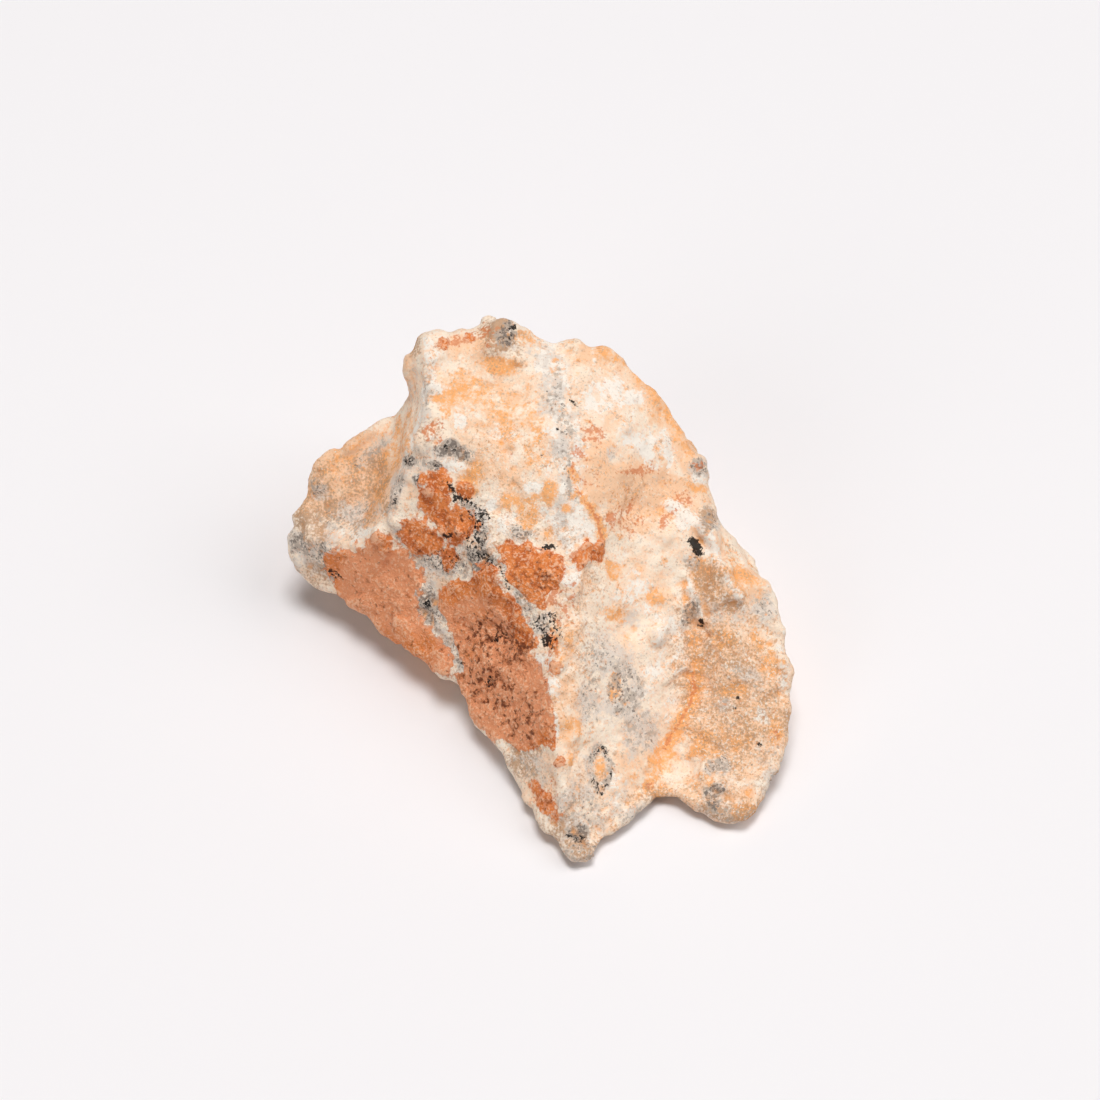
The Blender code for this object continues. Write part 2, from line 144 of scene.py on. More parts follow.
# Soft mottling: size of its largest features in mm, octaves, and roughness. The last is drawn
# 0.17 mm wide, because the real grain, down to 0.05 mm, is too fine to show
MOTTLES = {
    "drift": (3.4, 4.0, 0.60),
    "cloud": (1.2, 6.0, 0.66),
    "mottle": (0.42, 3.0, 0.60),
    "speck": (0.17, 2.0, 0.55),
}

# Mineral grains with edges: their width in mm
GRAINS = {"fine": 0.14, "coarse": 0.26}

# Bump of the grains: its height in mm, share of the wider mottling in it, and its strength on the
# smoothest skin, with what rough breaks and the rust add to that
BUMP_HEIGHT = 0.17
BUMP_MOTTLE = 0.5
BUMP_LEAST = 0.25
BUMP_ON_BREAKS = 0.25
BUMP_ON_RUST = 0.5

# Layers of colour from the ground up: what, the field that it follows or None, gain and offset on
# that, colour, opacity, share of each pattern that breaks up its edge, and softness of the edge.
# A layer shows where the sum is past its start
LAYER_START = 0.5
STONE_LAYERS = [
    ("peach drift", None, 0.0, 0.34, "peach", 0.75, {"drift a": 2.2, "cloud a": 1.0}, 0.35),
    ("pale grains", None, 0.0, 0.30, "white", 0.55, {"coarse a": 0.5, "mottle b": 1.6}, 0.20),
    ("peach", "peach", 1.0, 0.0, "peach", 0.92, {"cloud a": 2.4, "mottle a": 0.8}, 0.35),
    ("rim of the white", "white", 1.0, 0.12, "stain", 0.45, {"cloud c": 2.4, "coarse b": 0.5}, 0.14),
    ("white", "white", 1.0, 0.0, "white", 0.95, {"cloud c": 2.4, "coarse b": 0.5}, 0.22),
    ("grey haze", "grey", 1.0, 0.0, "grey", 0.88, {"cloud a": 2.2, "mottle b": 1.4}, 0.26),
    ("yellow stain", "stain", 1.0, 0.0, "stain", 0.90,
     {"cloud b": 2.6, "mottle b": 2.2, "speck a": 1.4}, 0.42),
    ("taupe", "taupe", 1.0, 0.0, "taupe", 0.82, {"cloud b": 1.8, "speck b": 1.6}, 0.30),
    ("soft grey specks", None, 0.0, 0.20, "ash", 0.36, {"speck b": 2.4, "cloud b": 1.2}, 0.18),
    ("sandy grains", "rough", 0.70, -0.40, "taupe", 0.62, {"speck c": 2.4, "mottle a": 1.4}, 0.22),
    ("light grains", "rough", 0.45, -0.22, "white", 0.70, {"speck a": 2.2, "fine b": 0.4}, 0.22),
    ("rusty specks", "peach", 0.14, -0.12, "rust", 0.40, {"speck c": 2.6, "mottle c": 1.6}, 0.24),
    ("ash grains", "grey", 1.2, -0.42, "ash", 0.80, {"coarse c": 0.6, "mottle c": 1.6}, 0.18),
    ("slate grains", "grey", 1.5, -0.86, "slate", 0.80, {"fine a": 0.8, "speck a": 1.6}, 0.14),
    # Painted shade, with iron stain: the yellow-orange is laid wherever the skin dips below the skin
    # around it
    ("iron stain and painted shade in pits", "pitted", 0.7, 0.0, "stain", 0.75, {"mottle a": 1.0}, 0.45),
    ("red", "red", 1.3, -0.40, "red", 0.76, {"mottle b": 2.8, "speck b": 2.0}, 0.26),
    ("rim of the crust", "rust", 1.7, -0.20, "red", 0.75, {"cloud b": 2.4, "mottle a": 1.8}, 0.12),
    ("crust", "rust", 1.7, -0.36, "crust", 1.0, {"cloud b": 2.4, "mottle a": 1.8}, 0.10),
    # The black mineral and specks, and painted shade in the pits that some dark patches mark
    ("black mineral and painted shade in pits", "dark", 2.0, -0.86, "black", 0.96, {"fine b": 0.8, "speck c": 1.4}, 0.14),
]
CRUST_LAYERS = [
    ("pink", "pink_rust", 1.0, 0.0, "rust_pink", 0.90, {"cloud c": 2.0, "mottle c": 1.2}, 0.35),
    ("deep orange", "pink_rust", -0.5, 0.44, "rust_deep", 0.80, {"cloud a": 2.6, "mottle b": 1.4}, 0.25),
    # Partly painted highlight: light rust is laid where the skin stands proud of the skin around it,
    # besides the wear of those spots
    ("light grains", "proud", 0.7, 0.18, "rust_light", 0.62, {"speck a": 2.6, "fine c": 0.5}, 0.24),
    ("brown hollows", "pocked", 0.38, 0.13, "rust_brown", 0.70, {"mottle b": 2.6, "cloud b": 1.4}, 0.26),
    # Painted shade: dark rust spots where the crust is pocked stand for the shade in pores too fine for
    # the skin's faces
    ("pores", "pocked", 0.60, -0.26, "rust_dark", 0.82, {"speck b": 1.8, "mottle b": 3.2}, 0.18),
]

# Round patches: what, pixel column and row, half width and half height in mm, turn in degrees,
# and strength
PATCHES = {
    "rough": [
        ("lobe", 735, 690, 4.2, 8.0, 20, 1.0),
        ("rust face", 450, 600, 6.5, 6.0, -38, 0.95),
        ("rust face, low", 515, 700, 2.8, 5.0, 20, 0.95),
        ("lip", 520, 530, 5.5, 1.8, -12, 0.85),
        ("dome, low", 640, 510, 4.0, 2.0, 0, 0.6),
        ("foot", 575, 800, 3.0, 3.0, 0, 0.8),
        ("crest by the pitted blob", 585, 580, 1.4, 2.2, 0, 0.9),
        ("crest side", 572, 640, 1.8, 5.0, 0, 0.95),
        ("plateau, low", 500, 460, 3.4, 2.4, 0, 0.70),
        ("lower rim of the foot", 585, 845, 4.5, 2.0, 0, 1.0),
        ("lower rim of the lobe", 730, 805, 5.0, 2.0, -10, 1.0),
    ],
    "rust": [
        ("blob left of the black specks", 435, 498, 1.15, 1.65, -8, 1.0),
        ("strongest blob", 459, 525, 1.40, 1.05, -10, 1.0),
        ("pale blob", 421, 538, 1.60, 1.15, -30, 0.9),
        ("small spot in the grey", 449, 557, 0.50, 0.75, 0, 0.9),
        ("bridge to the pitted blob", 487, 579, 0.80, 0.90, 20, 0.9),
        ("spot by the yellow stain", 464, 491, 0.55, 0.55, 0, 0.85),
        ("foot streak", 545, 803, 0.58, 1.55, 38, 0.60),
        ("foot streak, upper", 536, 788, 0.35, 0.60, 20, 0.55),
        ("edge of the cream strip", 483, 693, 0.60, 1.10, 20, 0.9),
        ("bead by the crest", 553, 641, 0.45, 0.45, 0, 0.75),
        ("bead by the crest, lower", 556, 668, 0.55, 0.45, 0, 0.75),
        ("bead left of the ring", 559, 762, 0.35, 0.50, -20, 0.75),
        ("summit edge spot", 443, 343, 0.45, 0.55, 0, 0.55),
        ("summit edge spot, right", 469, 337, 0.55, 0.40, 25, 0.60),
    ],
    "pink_rust": [
        ("lower half of the face", 505, 700, 3.3, 3.6, -30, 1.0),
        ("left end of the face", 390, 590, 4.2, 2.6, -36, 0.92),
        ("middle of the face", 470, 640, 3.0, 3.0, -40, 0.80),
    ],
    # Where the crust is pocked: its pores sink into the skin there, and its pits and pores get painted
    # shade in dark rust
    "pocked": [
        ("pits by the crest", 500, 640, 2.5, 1.3, -22, 1.0),
        ("pits, low", 494, 688, 1.7, 2.0, 30, 0.82),
        ("pits, lowest", 524, 716, 1.4, 1.7, 0, 0.70),
        ("pits in the pitted blob", 543, 578, 0.9, 0.9, 0, 0.88),
        ("middle of the face", 468, 664, 1.2, 1.6, 0, 0.62),
        ("strongest blob", 462, 522, 1.2, 0.9, 0, 0.50),
    ],
    "grey": [
        ("mosaic left of the blobs", 444, 560, 2.0, 1.2, -10, 0.72),
        ("mosaic in the pink", 412, 562, 0.7, 1.1, -20, 0.66),
        ("knob grains", 508, 334, 0.80, 1.15, -6, 0.88),
        ("grey clast", 454, 451, 1.45, 0.72, -4, 1.0),
        ("left of the clast", 421, 462, 1.15, 1.20, 20, 0.62),
        ("crest specks", 409, 461, 0.50, 0.60, 0, 0.95),
        ("spot below the clast", 418, 480, 0.45, 0.45, 0, 0.95),
        ("streak below the clast", 435, 466, 0.85, 0.40, -35, 0.85),
        ("crest below", 396, 492, 0.55, 1.70, -18, 0.72),
        ("hole in the rust", 435, 512, 0.50, 0.60, 0, 0.75),
        ("spot in the pale blob", 403, 536, 0.80, 0.60, -30, 0.85),
        ("under the strongest blob", 457, 550, 1.30, 1.05, -15, 0.66),
        ("dark cluster", 484, 562, 1.35, 0.80, -25, 0.98),
        ("right of the strongest blob", 482, 530, 0.55, 1.70, 5, 0.80),
        ("beside the black specks", 468, 507, 0.90, 0.55, -30, 0.66),
        ("in the middle of the face", 431, 610, 0.80, 1.80, 20, 0.86),
        ("in the middle of the face, lower", 452, 652, 0.55, 1.80, 32, 0.74),
        ("pale spot of the face", 476, 599, 0.70, 0.60, 0, 0.70),
        ("right of the pitted blob", 523, 600, 0.95, 1.15, 25, 0.74),
        ("under the pitted blob", 541, 622, 0.85, 1.15, 25, 0.70),
        ("lip, dark part", 521, 533, 0.95, 0.60, -20, 0.80),
        ("light crest, top", 553, 402, 1.20, 1.50, 10, 0.55),
        ("light crest, middle", 567, 440, 0.95, 2.60, -4, 0.56),
        ("light crest, foot", 571, 492, 0.90, 1.80, -8, 0.54),
        ("summit right of the knob", 545, 352, 1.30, 1.00, -25, 0.46),
        ("plateau, left rim", 427, 395, 0.60, 2.10, -6, 0.56),
        ("dome spot", 612, 452, 0.40, 0.60, 0, 0.62),
        ("dome top", 632, 398, 0.80, 0.50, 0, 0.45),
        ("rim, upper", 700, 466, 0.90, 0.70, -40, 0.75),
        ("rim, lower", 711, 520, 0.75, 1.10, 0, 0.66),
        ("hollow, upper grey", 640, 622, 1.60, 0.90, -20, 0.40),
        ("hollow, crest side", 600, 655, 1.60, 1.70, 20, 0.60),
        ("hollow, middle", 625, 690, 1.50, 2.60, 8, 0.70),
        ("hollow, lower", 640, 735, 1.60, 1.80, 0, 0.60),
        ("hollow, by the crest", 590, 700, 1.00, 2.20, 0, 0.60),
        ("foot, left tan part", 527, 765, 1.60, 1.20, -50, 0.60),
        ("foot, dark tip", 580, 837, 0.95, 0.85, 0, 1.0),
        ("foot, middle", 580, 808, 1.90, 1.90, 0, 0.58),
        ("foot, rim", 590, 856, 2.60, 0.90, 0, 0.62),
        ("foot, right rim", 632, 816, 1.60, 0.70, 45, 0.56),
        ("lobe, rim", 735, 816, 2.60, 0.70, -8, 0.58),
        ("lobe, corner rim", 776, 790, 0.90, 1.60, 30, 0.58),
        ("foot, right", 610, 812, 1.30, 1.60, 0, 0.52),
        ("below the mineral", 694, 562, 0.85, 0.60, -30, 0.72),
        ("beside the thin ridge", 691, 612, 0.50, 1.20, -25, 0.90),
        ("lobe, upper body", 728, 610, 1.70, 1.30, -35, 0.46),
        ("lobe, right edge", 765, 607, 1.10, 0.80, -40, 0.66),
        ("lobe, middle", 750, 676, 1.60, 1.30, -60, 0.52),
        ("lobe, left", 722, 706, 1.20, 0.90, 0, 0.50),
        ("lobe, lower", 719, 764, 0.95, 0.85, 0, 0.74),
        ("lobe, foot", 716, 797, 0.80, 0.95, 0, 0.90),
        ("lobe, right foot", 770, 755, 1.00, 1.20, 0, 0.45),
        ("shoulder, corner", 297, 541, 0.80, 0.80, 0, 0.80),
        ("shoulder, low corner", 316, 556, 1.50, 1.70, -30, 0.64),
        ("shoulder, low", 345, 516, 2.60, 1.00, 15, 0.62),
        ("shoulder, streak", 368, 455, 2.60, 0.50, 42, 0.56),
        ("shoulder, dark mark", 333, 573, 1.10, 0.45, -40, 1.0),
        ("shoulder, mark", 322, 550, 0.35, 0.90, -20, 0.85),
        ("shoulder, left side", 318, 488, 0.70, 0.80, 20, 0.72),
        ("shoulder, middle", 362, 506, 1.00, 0.60, 0, 0.60),
        ("shoulder, band", 336, 512, 1.90, 0.70, 10, 0.55),
        ("shoulder, top", 376, 440, 0.90, 0.60, 30, 0.45),
        ("left crest wall", 412, 390, 0.40, 3.0, -2, 0.30),
    ],
    "white": [
        ("mosaic, white", 428, 572, 0.9, 0.7, 0, 0.66),
        ("mosaic, white, right", 464, 556, 0.6, 0.5, 0, 0.70),
        ("lip, upper left", 497, 505, 0.8, 0.5, 0, 0.70),
        ("lip, above", 532, 488, 0.9, 0.4, 0, 0.60),
        ("below the clast", 453, 466, 1.00, 0.42, 0, 0.85),
        ("spot above the clast", 432, 437, 0.40, 0.30, 0, 0.90),
        ("left rim, spot", 443, 388, 0.65, 0.50, 0, 0.80),
        ("left rim", 431, 362, 0.45, 2.1, 2, 0.62),
        ("plateau spot", 459, 421, 0.45, 0.50, 0, 0.80),
        ("plateau spot, lower", 500, 431, 1.30, 0.60, 0, 0.52),
        ("lip, left", 489, 541, 0.50, 0.70, 0, 0.60),
        ("lip", 508, 521, 0.90, 0.50, 10, 0.95),
        ("lip, right", 574, 527, 1.25, 1.30, -25, 0.92),
        ("light crest, low", 560, 516, 1.70, 0.60, -12, 0.86),
        ("light crest, mid", 570, 470, 0.80, 2.1, -6, 0.60),
        ("dome, upper left", 601, 396, 1.30, 1.50, -30, 0.74),
        ("dome, upper right", 634, 397, 0.95, 0.60, -10, 0.80),
        ("dome, middle", 632, 432, 0.95, 1.10, 20, 0.64),
        ("dome, right", 658, 449, 1.35, 1.00, -15, 0.86),
        ("rim spot", 700, 478, 0.70, 0.40, -25, 0.70),
        ("by the mineral", 681, 523, 0.75, 0.60, -20, 0.90),
        ("crest clast", 543, 659, 0.58, 0.62, 0, 1.0),
        ("crest clast, lower", 553, 688, 0.60, 0.62, 0, 1.0),
        ("crest clast, lowest", 555, 727, 0.35, 0.95, 0, 0.80),
        ("crest clast, upper", 571, 575, 0.65, 0.85, -10, 0.95),
        ("hollow, bright", 640, 597, 1.9, 1.7, 0, 0.54),
        ("hollow, right", 668, 645, 1.6, 2.2, 10, 0.52),
        ("hollow, pale", 655, 690, 1.4, 2.4, 10, 0.44),
        ("foot, pale", 615, 790, 1.2, 1.8, 0, 0.45),
        ("cream strip", 489, 722, 0.30, 1.25, 28, 0.85),
        ("cream strip, left", 412, 654, 1.20, 0.40, -36, 0.75),
        ("bead strip", 561, 655, 0.25, 0.60, 0, 0.70),
        ("thin ridge", 693, 596, 0.26, 1.10, 28, 1.0),
        ("lobe crest spot", 720, 570, 0.50, 0.22, -40, 0.9),
        ("lobe spot", 763, 715, 0.40, 0.60, 30, 0.8),
        ("lobe rim", 783, 660, 0.50, 2.2, 0, 0.55),
        ("lobe foot rim", 742, 805, 1.8, 0.30, -12, 0.6),
        ("shoulder, pale", 345, 532, 1.8, 0.8, 8, 0.45),
    ],
    "stain": [
        ("lobe, foot corner", 745, 812, 0.90, 0.60, 0, 0.85),
        ("notch, rim", 660, 792, 1.20, 0.50, -10, 0.62),
        ("yellow streak", 448, 401, 0.45, 1.15, -5, 0.95),
        ("yellow streak, arm", 441, 396, 0.55, 0.30, 10, 0.85),
        ("by the knob", 500, 365, 1.20, 0.55, -8, 0.82),
        ("summit", 520, 336, 1.10, 0.50, -15, 0.62),
        ("plateau, left", 470, 392, 1.60, 1.40, 0, 0.54),
        ("plateau, middle", 520, 420, 1.80, 1.80, 0, 0.49),
        ("plateau, low", 535, 450, 1.10, 1.20, 0, 0.52),
        ("above the black specks", 470, 478, 0.80, 1.30, -30, 0.86),
        ("lip, left part", 512, 503, 0.90, 0.50, 0, 0.82),
        ("lip, right part", 528, 513, 1.20, 0.75, -15, 0.95),
        ("beside the light crest", 550, 492, 0.50, 0.85, -5, 0.86),
        ("spot on the light crest", 566, 507, 0.35, 0.30, 0, 0.95),
        ("lip spot", 536, 500, 0.50, 0.40, 0, 0.66),
        ("hollow, upper", 612, 570, 0.75, 0.60, 0, 0.62),
        ("hollow, upper right", 655, 597, 0.60, 0.50, 0, 0.66),
        ("hollow, left", 613, 614, 0.70, 0.50, 0, 0.66),
        ("hollow, orange brown", 615, 688, 0.45, 0.85, 0, 0.80),
        ("crest, beads", 565, 640, 0.90, 1.60, 0, 0.62),
        ("beside the ring", 574, 733, 0.70, 1.10, 0, 0.62),
        ("inside the ring", 600, 768, 0.40, 0.80, 0, 0.62),
        ("bead", 570, 763, 0.30, 0.30, 0, 0.85),
        ("crease, foot", 664, 757, 0.85, 1.00, -25, 0.86),
        ("lobe, tan circle", 702, 743, 1.05, 0.95, 0, 0.76),
        ("lobe, upper", 735, 690, 0.95, 0.60, 0, 0.86),
        ("lobe, right", 773, 662, 0.80, 0.90, 0, 0.72),
        ("lobe, corner", 776, 733, 0.45, 0.95, 0, 0.86),
        ("lobe, low", 700, 780, 1.00, 0.60, 0, 0.60),
        ("lobe, knob", 742, 740, 0.80, 0.60, 0, 0.60),
        ("lobe, upper edge", 760, 640, 0.80, 0.60, -40, 0.66),
        ("lobe, outer slope", 740, 580, 1.30, 1.00, -45, 0.58),
        ("lobe, brown face", 706, 577, 1.00, 1.20, -35, 0.60),
        ("lobe, brown face, low", 722, 640, 1.10, 0.80, -35, 0.62),
        ("foot, right edge", 635, 790, 0.60, 1.20, 0, 0.50),
        ("shoulder, upper", 376, 420, 2.00, 0.90, 38, 0.34),
        ("shoulder, side", 345, 462, 1.30, 1.60, 0, 0.46),
        ("shoulder, crest side", 397, 445, 0.80, 2.20, -22, 0.50),
        ("shoulder, low streak", 377, 497, 0.35, 1.90, -25, 0.66),
        ("shoulder, left edge", 303, 500, 0.50, 1.00, -25, 0.50),
        ("dome, edge", 627, 345, 1.60, 0.40, -20, 0.45),
        ("rim spot", 700, 489, 0.60, 0.30, -10, 0.80),
        ("tan clast", 547, 533, 0.42, 0.42, 0, 0.75),
    ],
    "peach": [
        ("lower rim of the foot", 600, 848, 2.60, 1.40, 0, 0.60),
        ("lower rim of the lobe", 725, 805, 3.60, 1.40, -8, 0.85),
        ("dome, top", 600, 358, 2.20, 1.00, -20, 0.85),
        ("dome, rim", 655, 400, 1.00, 2.60, 30, 0.90),
        ("dome, rim, lower", 682, 440, 0.90, 2.20, 18, 0.90),
        ("dome, lower", 640, 490, 3.80, 1.90, -8, 1.0),
        ("dome, left", 596, 470, 1.20, 2.40, -10, 0.85),
        ("dome, vein side", 590, 500, 0.60, 2.00, -18, 0.75),
        ("speckled part", 627, 518, 1.80, 1.30, 0, 0.75),
        ("plateau", 490, 395, 3.40, 2.80, 0, 0.52),
        ("plateau, low", 500, 465, 2.80, 2.00, 0, 0.55),
        ("summit", 465, 345, 1.60, 0.70, 0, 0.70),
        ("hollow, top", 625, 560, 2.60, 1.60, -5, 0.40),
        ("hollow, crest", 570, 690, 1.20, 4.60, 0, 0.58),
        ("lobe crest", 700, 530, 2.60, 0.70, -42, 0.90),
        ("lobe", 735, 705, 3.60, 5.20, 20, 0.95),
        ("lobe, outer slope", 745, 590, 1.40, 1.80, -45, 0.75),
        ("crease side", 690, 700, 0.90, 3.20, -10, 0.70),
        ("hollow, low", 640, 745, 1.60, 2.20, 0, 0.66),
        ("shoulder", 350, 475, 3.40, 3.60, 30, 0.95),
        ("left crest wall", 408, 370, 0.60, 2.40, 0, 0.62),
        ("foot", 580, 800, 1.50, 2.00, 0, 0.42),
        ("lobe, upper body", 725, 610, 2.20, 1.60, -35, 0.85),
    ],
    "taupe": [
        ("foot, grey-brown rims", 560, 830, 1.6, 1.0, -50, 0.52),
        ("foot, rim", 590, 852, 2.40, 0.90, 0, 0.55),
        ("notch, rim", 655, 798, 2.20, 0.70, 0, 0.52),
        ("lobe, rim", 735, 812, 3.20, 0.90, -8, 0.55),
        ("shoulder, low rim", 330, 585, 2.60, 1.00, -40, 0.55),
        ("knob", 503, 338, 1.20, 1.40, -6, 0.78),
        ("knob, top", 502, 324, 0.95, 0.55, 0, 0.85),
        ("summit corner", 413, 345, 0.50, 0.80, 10, 0.62),
        ("rim, lower", 708, 518, 0.60, 0.75, 0, 0.72),
        ("lobe", 730, 700, 3.4, 5.2, 20, 0.40),
        # Partly painted shade: brown-grey deepens the lobe's step that faces away from the lights, over
        # its own tan-brown
        ("lobe, brown face", 708, 582, 1.60, 1.30, -50, 0.66),
        ("lobe, brown face, right", 730, 603, 1.20, 0.60, -40, 0.54),
        ("lobe, crease side", 712, 650, 0.90, 0.80, 0, 0.60),
        ("lobe, middle", 735, 660, 1.60, 1.00, -20, 0.54),
        ("lobe, corner slope", 787, 722, 0.40, 0.90, 0, 0.50),
        ("speckles above the clast", 433, 431, 0.85, 0.75, 30, 0.55),
        ("foot, left tan part", 522, 762, 1.80, 1.00, -52, 0.62),
        ("shoulder, left end", 308, 520, 1.30, 1.60, 10, 0.62),
        ("shoulder", 345, 490, 3.40, 2.80, 20, 0.42),
    ],
    "red": [
        ("speckles above the clast", 433, 431, 0.85, 0.85, 30, 0.62),
        ("pink speckles on the dome", 627, 519, 1.45, 1.05, 0, 0.60),
        ("red loop", 593, 434, 0.85, 0.60, 0, 0.80),
        ("red loop, low", 577, 454, 0.45, 0.50, 0, 0.85),
        ("dome streak", 642, 470, 1.30, 0.42, 10, 0.78),
        ("red spot", 611, 518, 0.40, 0.35, 30, 0.95),
        ("hook", 664, 522, 0.32, 0.60, -25, 0.85),
        ("dome, low right", 686, 498, 0.90, 0.50, -10, 0.62),
        ("rim spot", 699, 464, 0.60, 0.40, -40, 0.62),
        ("summit", 456, 340, 1.40, 0.42, 8, 0.70),
        ("by the knob", 490, 334, 0.80, 0.80, 0, 0.58),
        ("dome, left part", 592, 466, 1.00, 1.60, -10, 0.45),
        ("crest, speckles", 566, 608, 0.90, 1.40, 0, 0.62),
        ("crest, orange mix", 552, 652, 0.50, 1.60, 0, 0.70),
        ("foot crest", 553, 790, 0.50, 0.70, 0, 0.55),
        ("lobe crest", 724, 556, 1.20, 0.30, -45, 0.30),
        ("lobe edge", 775, 735, 0.35, 0.50, 0, 0.62),
        ("notch", 653, 787, 0.40, 0.25, 0, 0.75),
    ],
    "dark": [
        ("mineral", 695.5, 546, 0.40, 0.90, 34, 1.0),
        # Painted shade: near-black spots stand for the shade in a pit by the thin ridge
        ("pit by the thin ridge", 701, 622, 0.22, 0.32, 0, 1.0),
        ("pit, low", 700, 628, 0.30, 0.22, 0, 0.55),
        ("black specks", 456, 498, 0.30, 0.45, -30, 0.85),
        ("black specks, right", 484, 513, 0.65, 0.35, -35, 0.75),
        ("black specks, low", 480, 524, 0.28, 0.55, 0, 0.72),
        ("under the blob", 448, 535, 0.35, 0.25, 0, 0.85),
        ("dark cluster", 486, 561, 0.90, 0.45, -25, 0.62),
        ("specks in the mosaic", 478, 535, 0.95, 2.70, 5, 0.60),
        ("specks left of the blobs", 444, 560, 1.60, 0.90, 0, 0.53),
        ("specks by the crest", 552, 632, 1.10, 1.30, 0, 0.58),
        ("grey band, speck", 427, 604, 0.26, 0.42, 20, 0.75),
        ("grey band, speck, low", 461, 664, 0.20, 0.30, 20, 0.70),
        ("lip", 549, 546, 0.60, 0.20, 5, 0.95),
        ("crest cluster", 546, 640, 0.45, 0.50, 20, 0.90),
        ("crest cluster, upper", 546, 618, 0.90, 0.50, 10, 0.66),
        ("crest, row", 538, 625, 0.45, 0.60, 40, 0.60),
        ("beside the grey", 508, 584, 0.20, 0.60, 30, 0.70),
        ("dome streak", 572, 401, 0.50, 0.17, -40, 0.90),
        ("plateau speck", 557, 428, 0.18, 0.18, 0, 0.9),
        ("plateau speck, low", 544, 455, 0.28, 0.30, 0, 0.65),
        ("knob edge", 515, 327, 0.28, 0.30, 0, 0.80),
        ("knob specks", 508, 333, 0.75, 1.00, 0, 0.51),
        ("clast core", 453, 450, 0.90, 0.38, -4, 0.52),
        ("clast core, left", 446, 449, 0.35, 0.40, 0, 0.62),
        ("crest specks", 408, 461, 0.35, 0.42, 0, 0.66),
        ("spot below the clast", 418, 480, 0.25, 0.25, 0, 0.70),
        ("streak below the clast", 435, 466, 0.60, 0.20, -40, 0.60),
        # Painted shade: near-black spots stand for the shade in the crust's deepest pits
        ("rust, upper pit", 499, 638, 0.75, 0.50, -10, 0.62),
        ("rust, lower pit", 490, 682, 0.55, 0.60, 40, 0.63),
        ("rust, pit by the edge", 536, 672, 0.25, 0.70, -20, 0.45),
        ("lobe speck", 737, 699, 0.17, 0.17, 0, 0.9),
        ("lobe speck, low", 735, 709, 0.17, 0.15, 0, 0.9),
        ("lobe speck, right", 761, 746, 0.26, 0.16, -30, 0.95),
        ("lobe speck, lowest", 751, 766, 0.14, 0.12, 0, 0.95),
        ("lobe, foot", 716, 799, 0.45, 0.45, 0, 0.50),
        ("foot, tip", 579, 838, 0.65, 0.55, 0, 0.60),
        ("shoulder, mark", 336, 574, 0.80, 0.30, -40, 0.72),
        ("left crest, low", 397, 498, 0.28, 1.20, -18, 0.55),
    ],
}

# Outlined patches: what, strength, and the outline's pixels
OUTLINED = {
    "rust": [
        ("main face, left", 1.0, [
            (328, 551), (346, 549), (364, 543), (377, 536), (388, 540), (398, 549), (408, 556),
            (422, 568), (420, 586), (419, 604), (424, 624), (438, 642), (448, 658), (450, 676),
            (424, 670), (402, 656), (380, 636), (358, 616), (340, 598), (326, 572),
        ]),
        ("main face, right", 1.0, [
            (440, 602), (444, 590), (456, 581), (466, 577), (480, 571), (489, 566), (497, 574),
            (506, 590), (518, 606), (530, 620), (535, 634), (532, 650), (536, 668), (544, 684),
            (550, 704), (552, 728), (552, 752), (543, 745), (530, 750), (516, 749), (499, 745),
            (484, 732), (468, 714), (461, 698), (458, 684), (461, 656), (452, 636), (444, 618),
        ]),
        ("pitted blob", 1.0, [
            (498, 543), (508, 540), (520, 545), (530, 541), (537, 546), (550, 549), (559, 557),
            (562, 572), (556, 588), (549, 600), (543, 607), (536, 601), (528, 595), (520, 588),
            (508, 580), (500, 563),
        ]),
        ("swirl", 0.95, [
            (570, 556), (579, 549), (588, 543), (594, 549), (600, 543), (604, 548), (600, 558),
            (592, 567), (584, 572), (577, 569),
        ]),
    ],
}

# Lines that both a vein and another vein or a form follow, as pixels
LIGHT_CREST = [(548, 352), (556, 385), (563, 420), (566, 455), (568, 490), (566, 515)]
SWIRL_RIM = [(570, 557), (580, 549), (589, 543), (595, 550), (601, 542), (603, 552)]
RING = [(593, 757), (600, 748), (608, 756), (612, 768), (607, 783), (601, 792), (593, 781),
        (590, 768), (593, 757)]

